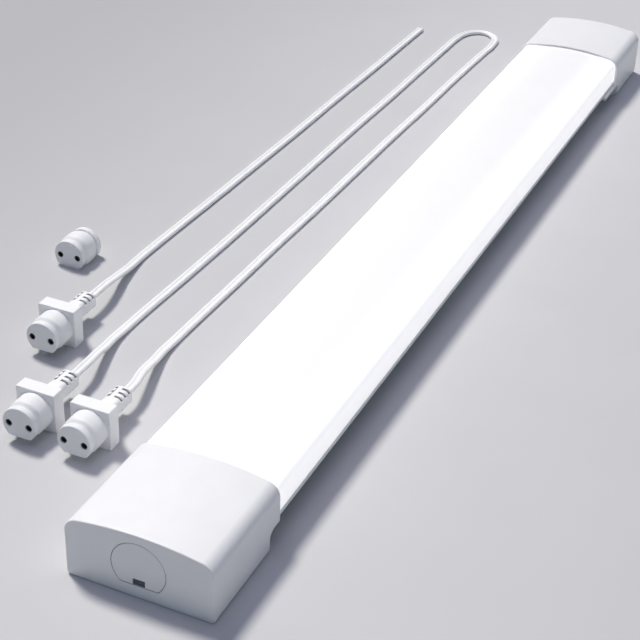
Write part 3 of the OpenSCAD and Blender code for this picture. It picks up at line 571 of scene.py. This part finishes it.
def makeDiffuser(name, s):
    w, cz, over = crownArcs(s["inset"])
    wi, czi, back = crownArcs(s["inset"] + s["wall"], forward=False)
    lipOut, lipLow, lipTop = s["lip"]
    start = (lipOut, lipLow)
    sideIn, sideLow = s["side"]
    moves = [(lipOut, lipTop), (s["webOut"], lipTop), (s["webOut"], s["low"]), (sideIn, s["low"])]
    moves += [(sideIn, sideLow), (w, sideLow), (w, cz)]
    moves += over
    moves += [(-w, sideLow), (-sideIn, sideLow), (-sideIn, s["low"])]
    moves += [(-s["webOut"], s["low"]), (-s["webOut"], lipTop), (-lipOut, lipTop)]
    moves += [(-lipOut, lipLow), (-s["webIn"], lipLow), (-s["webIn"], s["floor"]), (-wi, s["floor"])]
    moves += [(-wi, czi)]
    moves += back
    moves += [(wi, s["floor"]), (s["webIn"], s["floor"]), (s["webIn"], lipLow), start]
    lens = drawOutline(name, -s["length"] / 2, start, moves)
    extrudeX(s["length"])
    tidyMesh()
    finishPiece(lens, s["soft"], limit=s["softLimit"])
    return lens


lens = makeDiffuser("diffuser_channel", diffuser)
print("diffuser made")


# the connectors: hard nose and moulded grip

nose = {
    "length": 20.1,
    "ring": 4.6,
    "barrel": 13.3,
    "valley": 11.0,
    "flank": 4.5,
    "end": 12.7,
    "edge": 0.8,
    "root": (11.0, 6.0),        # radius and length of the spigot in the grip
    "flat": 9.4,
    "span": 15.4,
    "hole": 2.1,
    "mouth": (2.7, 0.8, 0.1),   # radius and depth of the lead-in cone, and how far out its painted shade reaches
    "leadIn": 3.0,
    "bore": 2.65,
    "sides": 64,
    "holeSides": 32,
    "steps": 10,
    "soft": 0.25,
}
ringHeel = (0.25, 0.6, 0.2)     # a ring's inner edge: where it starts and ends along the ring, and its depth


def turnProfile(name, points, sides):
    # points are (x, radius); the line is spun round the X axis
    piece = startLine(name, points[0][0], 0, points[0][1])
    for a, b in zip(points, points[1:]):
        step = ((b[0] - a[0]) * mm, 0, (b[1] - a[1]) * mm)
        bpy.ops.mesh.extrude_vertices_move(TRANSFORM_OT_translate={"value": step})
    bpy.ops.mesh.select_all(action="SELECT")
    bpy.ops.mesh.spin(steps=sides, angle=2 * math.pi, center=(0, 0, 0), axis=(1, 0, 0))
    bpy.ops.mesh.select_all(action="SELECT")
    bpy.ops.mesh.remove_doubles(threshold=0.003 * mm)
    bpy.ops.mesh.normals_make_consistent(inside=False)
    return piece


def endRing(s, sign, run, length):
    # the flank's curve down into the valley as far as run, then the ring with its rounded edge
    low, drop, edge = s["valley"], (s["barrel"] - s["valley"]) / 2, s["edge"]
    start, stop, depth = ringHeel
    count = s["steps"]
    curve = [(0, s["barrel"])]
    for i in range(count + 1):
        x = run - s["flank"] * (1 - i / count)
        curve.append((sign * x, low + drop * (1 + math.cos(math.pi * i / count))))
    curve += [(sign * (run + start), s["end"] - depth), (sign * (run + stop), s["end"])]
    for i in range(roundSteps + 1):
        a = math.pi / 2 * i / roundSteps
        curve.append((sign * (length - edge + edge * math.sin(a)), s["end"] - edge + edge * math.cos(a)))
    return curve + [(sign * length, 0)]


def cutFlat(s):
    bpy.ops.mesh.bisect(plane_co=(0, 0, -s["flat"] * mm), plane_no=(0, 0, 1), use_fill=True, clear_inner=True)
    tidyMesh()


def holeEnd(s, face, way):
    # the profile of a contact hole from outside the face, down its lead-in, to its wider bore
    wide, deep, _ = s["mouth"]
    outside = wide + (wide - s["hole"]) / deep * over
    inward = [(-over, 0), (-over, outside), (deep, s["hole"]), (s["leadIn"], s["hole"])]
    inward.append((s["leadIn"], s["bore"]))
    return [(face + way * x, r) for x, r in inward]


def holeTools(s, points):
    # one turned tool on each side
    tools = []
    for side in (-1, 1):
        tool = turnProfile("hole", points, s["holeSides"])
        tidyMesh()
        tool.data.transform(shift(0, side * s["span"] / 2, 0))
        tools.append(tool)
    return tools


def holeDepth(s, v, inward):
    # from the face down a contact hole, for its painted shade
    wide, deep, wider = s["mouth"]
    off = math.hypot(abs(v.y) - s["span"] / 2, v.z)
    return inward / deep if off < wide + wider else 0


def makeNose(name, s):
    rootR, rootLen = s["root"]
    points = [(rootLen, 0), (rootLen, rootR), (0, rootR)]
    points += endRing(s, -1, s["length"] - s["ring"], s["length"])
    piece = turnProfile(name, points, s["sides"])
    cutFlat(s)
    back = rootLen + over
    cut(piece, holeTools(s, holeEnd(s, -s["length"], 1) + [(back, s["bore"]), (back, 0)]))
    finishPiece(piece, s["soft"])
    markPaintedShade(piece, lambda v: holeDepth(s, v, v.x + s["length"]))
    return piece


grip = {
    "flange": 30.0,
    "flangeThick": 10.7,
    "flangeCorner": 1.0,
    "flangeFront": 0.45,            # radius of its front edge
    "flangeBack": (0.35, 0.1, 0.2), # its back edge: start and end before the back, and what it takes off
    "hood": 12.5,
    "curve": 2.2,
    "hoodSteps": 14,
    "hoodStart": 0.25,              # first step, so that the hood leaves the flange sharply
    "relief": (12.8, 12.0, 3.6),    # width, height, corner
    "reliefLength": 19.8,
    "reliefEnd": (                  # back from the end, off width and height, off the corner
        (1.4, 0, 0), (0.84, 0.25, 0), (0.28, 1.1, 0.5), (0, 2.8, 1.4),
    ),
    "slots": 3,
    "slotWidth": 2.0,
    "slotPitch": 4.9,
    "lastSlot": 3.5,
    "slotReach": 9.0,
    "core": (5.2, 2.2),             # half width and half height left whole round the cord
    "bridge": 3.2,
    "spine": (-0.4, 2.8),
    "rootHole": (11.1, 6.1, 48),    # radius, length, sides
    "soft": 0.18,
    "softLimit": 38,
    "skin": (0.3, 0.5),             # kept free of painted shade round the relief and at its end
    # depth in from the relief's outside at which the slots' painted shade is full
    "darkAt": 1.2,
}
gripLength = grip["flangeThick"] + grip["hood"] + grip["reliefLength"]


def addRing(x, w, h, r):
    # one rounded rectangle across X, added while the piece is open
    bpy.ops.mesh.primitive_plane_add(size=1, location=(x * mm, 0, 0), rotation=(0, math.pi / 2, 0))
    bpy.ops.transform.resize(value=(1, w * mm, h * mm), center_override=(x * mm, 0, 0))
    bpy.ops.mesh.bevel(offset=r * mm, segments=4, affect="VERTICES")
    bpy.ops.mesh.delete(type="ONLY_FACE")


def gripRings(s):
    # from the flange's front over the hood to the relief's end: place, width, height, corner
    w1, h1, r1 = s["relief"]
    w0, r0 = s["flange"], s["flangeCorner"]
    thick, hood, early, edge = s["flangeThick"], s["hood"], s["hoodStart"], s["flangeFront"]
    start, stop, less = s["flangeBack"]
    sizes = []
    for a in (0, math.pi / 4, math.pi / 2):
        sizes.append((edge * (1 - math.cos(a)), w0 - 2 * edge * (1 - math.sin(a))))
    sizes += [(thick - start, w0), (thick - stop, w0 - less)]
    rings = [(x, w, w, r0) for x, w in sizes]
    for i in range(s["hoodSteps"]):
        t = (i + early) / (s["hoodSteps"] - 1 + early)
        k = (1 - t) ** s["curve"]
        rings.append((thick + hood * t, w1 + (w0 - w1) * k, h1 + (w0 - h1) * k, r1 + (r0 - r1) * k))
    for back, off, corner in s["reliefEnd"]:
        rings.append((gripLength - back, w1 - off, h1 - off, r1 - corner))
    return rings


def roundedInside(v, s):
    # inside the strain relief's own skin, and not on its end
    w, h, r = s["relief"]
    skin, endSkin = s["skin"]
    y, z = max(0, abs(v.y) - w / 2 + r), max(0, abs(v.z) - h / 2 + r)
    return math.hypot(y, z) < r - skin and v.x < gripLength - s["reliefEnd"][0][0] - endSkin


def makeGrip(name, s):
    rings = gripRings(s)
    piece = addPiece(name, "plane", size=mm)
    bpy.ops.object.mode_set(mode="EDIT")
    bpy.ops.mesh.select_mode(type="VERT")
    bpy.ops.mesh.select_all(action="SELECT")
    bpy.ops.mesh.delete(type="VERT")
    for ring in rings:
        addRing(*ring)
    bpy.ops.mesh.select_all(action="SELECT")
    bpy.ops.mesh.bridge_edge_loops()
    for x in (rings[0][0], rings[-1][0]):
        pick(piece, "VERT", lambda v: near(v.x, x))
        bpy.ops.mesh.edge_face_add()
    tidyMesh()
    coreY, coreZ = s["core"]
    low, high = s["spine"]
    out = s["slotReach"]
    tools = []
    for i in range(s["slots"]):
        x = gripLength - s["lastSlot"] - s["slotWidth"] / 2 - i * s["slotPitch"]
        for side, spine in ((1, high), (-1, -low)):
            start = (side * spine, coreZ)
            lines = [
                (side * coreY, coreZ), (side * coreY, s["bridge"]), (side * out, s["bridge"]),
                (side * out, out), (side * spine, out), start,
            ]
            tool = drawOutline("slot", x, start, lines)
            extrudeX(s["slotWidth"])
            tidyMesh()
            tools.append(tool)
            tools.append(copyPiece(tool, "slot", Matrix.Rotation(math.pi, 4, "X")))
    cut(piece, [joinPieces(tools)])
    rootR, rootLen, rootSides = s["rootHole"]
    cut(piece, [barX("seat", rootR, -over, rootLen, 0, 0, rootSides)])
    finishPiece(piece, s["soft"], limit=s["softLimit"])
    width, height, _ = s["relief"]

    # painted shade inside the slots, darker further in from the relief's outside
    def slotDepth(v):
        inside = v.x > gripLength - s["reliefLength"] and roundedInside(v, s)
        return min(width / 2 - abs(v.y), height / 2 - abs(v.z)) / s["darkAt"] if inside else 0

    markPaintedShade(piece, slotDepth)
    return piece


noseFirst = makeNose("noseFirst", nose)
gripFirst = makeGrip("gripFirst", grip)
connectors = {"power": "power_connector", "link_a": "link_connector_a", "link_b": "link_connector_b"}
noses, grips = {}, {}
for key, node in connectors.items():
    place = shift(*placeOf(node + "_grip"))
    noses[key] = copyPiece(noseFirst, key + "_nose_moulding", place)
    grips[key] = copyPiece(gripFirst, key + "_grip_moulding", place)
bpy.data.objects.remove(noseFirst)
bpy.data.objects.remove(gripFirst)
print("connectors made")


# the coupler

coupler = {
    "length": 27.4,
    "ring": 4.6,
    "barrel": 13.7,
    "valley": 11.3,
    "flank": 5.5,
    "end": 13.0,
    "edge": 0.8,
    "flat": 9.6,
    "steps": 10,
    "sides": 64,
    "soft": 0.25,
}


def makeCoupler(name, s):
    half = s["length"] / 2
    run = half - s["ring"]
    right = endRing(s, 1, run, half)
    left = endRing(s, -1, run, half)
    piece = turnProfile(name, left[::-1] + right[1:], s["sides"])
    cutFlat(s)
    cut(piece, holeTools(nose, holeEnd(nose, -half, 1) + holeEnd(nose, half, -1)[::-1]))
    finishPiece(piece, s["soft"])
    markPaintedShade(piece, lambda v: holeDepth(nose, v, half - abs(v.x)))
    x, y, _ = placeOf("coupler_body")
    piece.data.transform(shift(x + half, y, floorZ + s["flat"]))
    return piece


couplerBody = makeCoupler("coupler_moulding", coupler)
print("coupler made")


# materials

seedStep = (0.37, 0.11, 0.23)       # metres between one seed's noise and the next
# colour of the painted shade deep in holes and slots
holeShade = (0.05, 0.055, 0.07)


class Signal:
    # a socket that can be used in sums
    def __init__(self, finish, socket):
        self.finish, self.socket = finish, socket

    def sums(self, operation, a, b):
        return self.finish.node("ShaderNodeMath", {"operation": operation}, {0: a, 1: b})

    def __add__(self, other):
        return self.sums("ADD", self, other)

    def __mul__(self, other):
        return self.sums("MULTIPLY", self, other)

    def __sub__(self, other):
        return self.sums("SUBTRACT", self, other)


class Finish:
    # a material with one shader, built by sums of signals
    def __init__(self, name, roughness=0.5, **constants):
        self.material = bpy.data.materials.new(name)
        self.material.use_nodes = True
        self.tree = self.material.node_tree
        self.tree.nodes.clear()
        self.shader = self.tree.nodes.new("ShaderNodeBsdfPrincipled")
        self.out = self.tree.nodes.new("ShaderNodeOutputMaterial")
        self.tree.links.new(self.shader.outputs[0], self.out.inputs["Surface"])
        self.shader.inputs["Roughness"].default_value = roughness
        for key, value in constants.items():
            self.shader.inputs[key.replace("_", " ")].default_value = value
        self.place = self.node("ShaderNodeTexCoord", out="Object")

    def node(self, kind, settings=None, inputs=None, out=0):
        made = self.tree.nodes.new(kind)
        for key, value in (settings or {}).items():
            setattr(made, key, value)
        for key, value in (inputs or {}).items():
            self.feed(made.inputs[key], value)
        return Signal(self, made.outputs[out])

    def feed(self, socket, value):
        if isinstance(value, Signal):
            self.tree.links.new(value.socket, socket)
        else:
            socket.default_value = value

    def give(self, **wanted):
        for key, value in wanted.items():
            self.feed(self.shader.inputs[key.replace("_", " ")], value)

    def mix(self, amount, a, b):
        a = (*a, 1) if isinstance(a, tuple) else a
        b = (*b, 1) if isinstance(b, tuple) else b
        return self.node("ShaderNodeMix", {"data_type": "RGBA"}, {0: amount, 6: a, 7: b}, out=2)

    def noise(self, size, detail=2.0, stretch=None, seed=0):
        # a cloud whose patches are about size millimetres across
        at = self.place
        if stretch or seed:
            moved = tuple(seed * step for step in seedStep)
            fields = {"Vector": at, "Scale": stretch or (1, 1, 1), "Location": moved}
            at = self.node("ShaderNodeMapping", {}, fields)
        return self.node("ShaderNodeTexNoise", {}, {"Vector": at, "Scale": 1 / (size * mm), "Detail": detail})

    def axis(self, name):
        return self.node("ShaderNodeSeparateXYZ", {}, {0: self.place}, out=name)

    def ramp(self, value, low, high, a=0.0, b=1.0):
        # a number from a to b as the value goes from low to high, held at both ends
        fields = {0: value, 1: low, 2: high, 3: a, 4: b}
        return self.node("ShaderNodeMapRange", {"clamp": True, "interpolation_type": "SMOOTHSTEP"}, fields)

    def bump(self, height, depth, strength=1.0):
        # depth in millimetres for a height that goes from 0 to 1
        self.give(Normal=self.node("ShaderNodeBump", {}, {
            "Height": height, "Distance": depth * mm, "Strength": strength,
        }))


def shade(colour, amount):
    return tuple(min(1, max(0, c * amount)) for c in colour)


def mouldedPlastic(name, colour, roughness=0.4, mottle=0.03, grain=0.35, depth=0.012, paintedShade=0.0):
    # soft flow clouds, a fine spark-eroded grain, dulled patches where hands touch, and painted shade deep in
    # its holes and slots
    f = Finish(name, IOR=1.49)
    clouds = f.noise(26, 3)
    specks = f.noise(1.3, 1, seed=2)
    tone = clouds * 0.75 + specks * 0.25
    skin = f.mix(f.ramp(tone, 0.3, 0.7), shade(colour, 1 - mottle), shade(colour, 1 + mottle * 0.5))
    # painted shade: where the deep mark is high, the colour goes towards holeShade
    if paintedShade:
        deep = f.node("ShaderNodeAttribute", {"attribute_name": "deep"}, out="Fac")
        skin = f.mix(deep * paintedShade, skin, holeShade)
    f.give(Base_Color=skin)
    f.give(Roughness=f.ramp(f.noise(9, 2, seed=5), 0.3, 0.7, roughness - 0.05, roughness + 0.06))
    f.bump(f.noise(grain, 2, seed=1), depth)
    return f


def opalPlastic(name, colour, paintedGlow):
    # diffusing extrusion, faint draw lines along it; a painted glow stands in for light through its walls,
    # turning from the side's strong colour, where the lamps leave shade, to the top's faint one between two
    # heights
    f = Finish(name, IOR=1.5, Emission_Strength=1.0)
    lines = f.noise(3.5, 2, stretch=(0.004, 1, 1))
    clouds = f.noise(60, 2, seed=4)
    tone = lines * 0.6 + clouds * 0.4
    f.give(Base_Color=f.mix(f.ramp(tone, 0.3, 0.7), shade(colour, 0.985), shade(colour, 1.0)))
    f.give(Roughness=f.ramp(f.noise(12, 2, seed=6), 0.3, 0.7, 0.3, 0.38))
    low, high, side, top = paintedGlow
    f.give(Emission_Color=f.mix(f.ramp(f.axis("Z"), low * mm, high * mm), side, top))
    f.bump(f.noise(2.2, 1, stretch=(0.01, 1, 1), seed=1), 0.004)
    return f


def powderCoat(name, colour):
    f = Finish(name, IOR=1.5)
    peel = f.noise(0.9, 2)
    dust = f.noise(30, 3, seed=3)
    f.give(Base_Color=f.mix(f.ramp(dust, 0.35, 0.75), shade(colour, 0.96), shade(colour, 1.02)))
    f.give(Roughness=f.ramp(peel, 0.3, 0.7, 0.38, 0.5))
    f.bump(peel, 0.03)
    return f


def brightMetal(name, colour, roughness, dull, scratch=0.006):
    f = Finish(name, Metallic=1.0)
    cloud = f.noise(2.5, 4)
    fine = f.noise(0.25, 2, stretch=(1, 1, 6), seed=2)
    f.give(Base_Color=f.mix(f.ramp(cloud, 0.4, 0.7), colour, dull))
    f.give(Roughness=f.ramp(cloud, 0.3, 0.7, roughness - 0.06, roughness + 0.1))
    f.bump(fine, scratch)
    return f


def printedBoard(name, colour, weave, trace):
    # laminate with a faint cloth weave and slightly raised tracks under its mask
    f = Finish(name, Coat_Weight=0.25, Coat_Roughness=0.2)
    across = f.node("ShaderNodeTexWave", {"bands_direction": "X"}, {"Vector": f.place, "Scale": 260.0})
    along = f.node("ShaderNodeTexWave", {"bands_direction": "Y"}, {"Vector": f.place, "Scale": 260.0})
    cloth = across * along
    tracks = f.node("ShaderNodeTexBrick", {"offset": 0.35, "squash": 1.0}, {
        "Vector": f.place, "Scale": 120.0, "Mortar Size": 0.06, "Mortar Smooth": 0.2,
    }, out="Fac")
    base = f.mix(cloth * 0.35, colour, weave)
    f.give(Base_Color=f.mix(tracks * 0.5, base, trace))
    f.give(Roughness=f.ramp(cloth, 0.0, 1.0, 0.45, 0.36))
    f.bump(tracks * 0.8 + cloth * 0.2, 0.03)
    return f


def lightChip(name, phosphor, case):
    f = Finish(name, Coat_Weight=0.4, Coat_Roughness=0.08)
    spot = f.noise(1.6, 2)
    f.give(Base_Color=f.mix(f.ramp(spot, 0.35, 0.6), phosphor, case))
    f.give(Roughness=f.ramp(spot, 0.3, 0.7, 0.2, 0.35))
    f.bump(spot, 0.05)
    return f


def woundWire(name, colour, gap):
    f = Finish(name, Coat_Weight=0.6, Coat_Roughness=0.1)
    turns = f.node("ShaderNodeTexWave", {"bands_direction": "Z"}, {"Vector": f.place, "Scale": 420.0})
    f.give(Metallic=f.ramp(turns, 0.1, 0.5, 0.2, 0.9))
    f.give(Base_Color=f.mix(f.ramp(turns, 0.05, 0.5), gap, colour))
    f.give(Roughness=f.ramp(f.noise(3, 2), 0.3, 0.7, 0.25, 0.4))
    f.bump(turns, 0.12)
    return f


def bandedPart(name, body, band, low, high, axis="Z", metal=0.0, roughness=0.4):
    # one colour with a band of another across it, worn a little at its edge
    f = Finish(name, Coat_Weight=0.2, Coat_Roughness=0.2)
    ragged = f.axis(axis) + f.noise(0.8, 2) * 0.0003
    mask = f.ramp(ragged, low * mm, (low + 0.15) * mm) - f.ramp(ragged, high * mm, (high + 0.15) * mm)
    cloud = f.ramp(f.noise(4, 3, seed=1), 0.3, 0.7)
    f.give(Base_Color=f.mix(mask, f.mix(cloud, shade(body, 0.9), shade(body, 1.08)), band))
    f.give(Metallic=mask * metal)
    f.give(Roughness=f.ramp(cloud, 0.0, 1.0, roughness - 0.05, roughness + 0.08))
    f.bump(f.noise(0.5, 2, seed=2), 0.012)
    return f


def insulatedLead(name, colour):
    f = Finish(name, IOR=1.5)
    sleeve = f.noise(6, 2)
    f.give(Base_Color=f.mix(f.ramp(sleeve, 0.3, 0.7), shade(colour, 0.95), colour))
    f.give(Roughness=f.ramp(f.noise(1.5, 2, seed=1), 0.3, 0.7, 0.33, 0.45))
    f.bump(f.noise(0.7, 2, seed=2), 0.015)
    return f


finishes = {
    # a plastic's last number, where given, sets how far its painted shade in holes and slots goes towards
    # holeShade
    "cap_plastic": mouldedPlastic("capPlastic", (0.93, 0.93, 0.94), 0.4, mottle=0.015, paintedShade=0.9),
    "cover_plastic": mouldedPlastic("coverPlastic", (0.92, 0.92, 0.93), 0.42, mottle=0.015, paintedShade=0.9),
    "socket_plastic": mouldedPlastic("socketPlastic", (0.8, 0.81, 0.83), 0.45),
    "nose_plastic": mouldedPlastic("nosePlastic", (0.92, 0.925, 0.935), 0.5, mottle=0.015, paintedShade=1.0),
    "grip_plastic": mouldedPlastic(
        "gripPlastic", (0.955, 0.955, 0.96), 0.52, mottle=0.015, grain=0.5, depth=0.02, paintedShade=0.75),
    "cord_plastic": mouldedPlastic(
        "cordPlastic", (0.96, 0.96, 0.965), 0.45, mottle=0.015, grain=0.8, depth=0.02),
    "link_plastic": mouldedPlastic("linkPlastic", (0.88, 0.88, 0.9), 0.4),
    "terminal_plastic": mouldedPlastic("terminalPlastic", (0.3, 0.45, 0.33), 0.35, mottle=0.08),
    "spacer_nylon": mouldedPlastic("spacerNylon", (0.86, 0.85, 0.8), 0.5),
    "rectifier_black": mouldedPlastic("rectifierEpoxy", (0.03, 0.03, 0.033), 0.5, mottle=0.2),
    "insulator_sheet": mouldedPlastic("insulatorSheet", (0.86, 0.85, 0.8), 0.55, grain=1.2, depth=0.03),
    # painted light on the diffuser: a glow strong below 24.5 mm on the shaded side, faint above 29 mm on the
    # top
    "opal_diffuser": opalPlastic(
        "opalDiffuser", (0.97, 0.97, 0.98), (24.5, 29, (0.54, 0.53, 0.53), (0.09, 0.085, 0.08))),
    "tray_paint": powderCoat("trayPaint", (0.93, 0.94, 0.95)),
    "pin_metal": brightMetal("pinNickel", (0.78, 0.76, 0.72), 0.25, (0.62, 0.6, 0.57)),
    "screw_steel": brightMetal("screwZinc", (0.7, 0.72, 0.75), 0.32, (0.55, 0.57, 0.6)),
    "contact_brass": brightMetal("contactBrass", (0.5, 0.4, 0.24), 0.35, (0.36, 0.28, 0.16)),
    "board_white": printedBoard("boardMask", (0.88, 0.88, 0.86), (0.82, 0.82, 0.8), (0.93, 0.93, 0.91)),
    "circuit_board": printedBoard("boardGreen", (0.1, 0.35, 0.2), (0.13, 0.3, 0.17), (0.16, 0.43, 0.25)),
    "light_chip": lightChip("chipPhosphor", (0.95, 0.86, 0.45), (0.93, 0.92, 0.86)),
    "ferrite": bandedPart("ferriteTape", (0.1, 0.1, 0.11), (0.75, 0.55, 0.12), 10, 15, roughness=0.5),
    "capacitor_sleeve": bandedPart(
        "capacitorSleeve", (0.06, 0.07, 0.12), (0.7, 0.72, 0.74), 22.6, 40, metal=0.9),
    "enamelled_copper": woundWire("enamelledCopper", (0.72, 0.33, 0.13), (0.18, 0.07, 0.03)),
    "fuse_glass": bandedPart(
        "fuseGlass", (0.82, 0.84, 0.85), (0.7, 0.7, 0.7), -1, 60, axis="Y", metal=0.9, roughness=0.2),
    "lead_insulation": insulatedLead("leadSleeve", (0.85, 0.85, 0.87)),
    "wire_insulation": insulatedLead("wireSleeve", (0.15, 0.15, 0.17)),
}

for name, piece in nodes.items():
    for holder in piece.material_slots:
        holder.material = finishes[holder.material.name.split(".")[0]].material
print("materials made")


# what rides on what

def dress(piece, body, slotName, *replaced):
    piece.data.materials.clear()
    piece.data.materials.append(finishes[slotName].material)
    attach(piece, body)
    if replaced:
        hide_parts(*replaced)


dress(nearCap, "light", "cap_plastic", "near_end_cap")
dress(farCap, "light", "cap_plastic", "far_end_cap")
dress(nearCover, "near_cover", "cover_plastic", "near_socket_cover")
dress(farCover, "far_cover", "cover_plastic", "far_socket_cover")
dress(lens, "light", "opal_diffuser", "diffuser")
dress(couplerBody, "coupler", "nose_plastic", "coupler_body")
for key, node in connectors.items():
    body = key.split("_")[0] + "_set"
    dress(noses[key], body, "nose_plastic", node + "_nose")
    dress(grips[key], body, "grip_plastic", node + "_grip")
dress(powerCord, "power_set", "cord_plastic", "power_cord")
dress(linkCord, "link_set", "cord_plastic", "link_cord")

smoothPath(powerRoute)
smoothPath(linkRoute)
print("pieces dressed")


# floor and light

studio = {
    "floorColour": (0.612, 0.612, 0.626),
    "floorPaintedFalloff": (0.05, 0.6, 0.8),      # painted fall-off of light: distances from the light's axis, and the share of the colour left
    "floorReach": 12000,
    "floorShine": 0.2,
    "skyColour": (0.055, 0.095, 0.13),
}
suns = {
    # the way its light goes, its power, colour and angle
    "window": ((-0.31, -0.51, -1.0), 2.85, (1.0, 0.965, 0.9), 11.5),
    "ceiling": ((0.0, 0.0, -1.0), 0.6, (0.84, 0.75, 1.0), 50),
    "side": ((0.1, 1.0, -0.35), 0.19, (1.0, 0.965, 0.9), 60),
}


def addSun(name, way, power, colour, angle):
    data = bpy.data.lights.new(name, "SUN")
    data.energy, data.color, data.angle = power, colour, math.radians(angle)
    sun = bpy.data.objects.new(name, data)
    bpy.context.scene.collection.objects.link(sun)
    sun.rotation_mode = "QUATERNION"
    sun.rotation_quaternion = Vector(way).to_track_quat("-Z", "Y")


def makeStudio(s):
    floor = addPiece("floor", "plane", size=s["floorReach"] * mm, location=(0, 0, floorZ * mm))
    f = Finish("floorPaper", Specular_IOR_Level=s["floorShine"])
    cloud = f.noise(90, 3)
    start, end, share = s["floorPaintedFalloff"]
    paper = f.mix(f.ramp(cloud, 0.3, 0.7), shade(s["floorColour"], 0.99), shade(s["floorColour"], 1.01))
    # painted fall-off of light: the floor darkens with distance from the light's axis
    away = f.node("ShaderNodeMath", {"operation": "ABSOLUTE"}, {0: f.axis("Y")})
    f.give(Base_Color=f.mix(f.ramp(away, start, end), paper, shade(s["floorColour"], share)))
    f.give(Roughness=f.ramp(cloud, 0.3, 0.7, 0.78, 0.84))
    floor.data.materials.append(f.material)
    for name, sun in suns.items():
        addSun(name, *sun)
    world = bpy.data.worlds.new("studio")
    world.use_nodes = True
    back = world.node_tree.nodes["Background"]
    back.inputs["Color"].default_value = (*s["skyColour"], 1)
    back.inputs["Strength"].default_value = 1.0
    bpy.context.scene.world = world
    bpy.context.scene.view_settings.view_transform = "Standard"


makeStudio(studio)
print("studio lit")
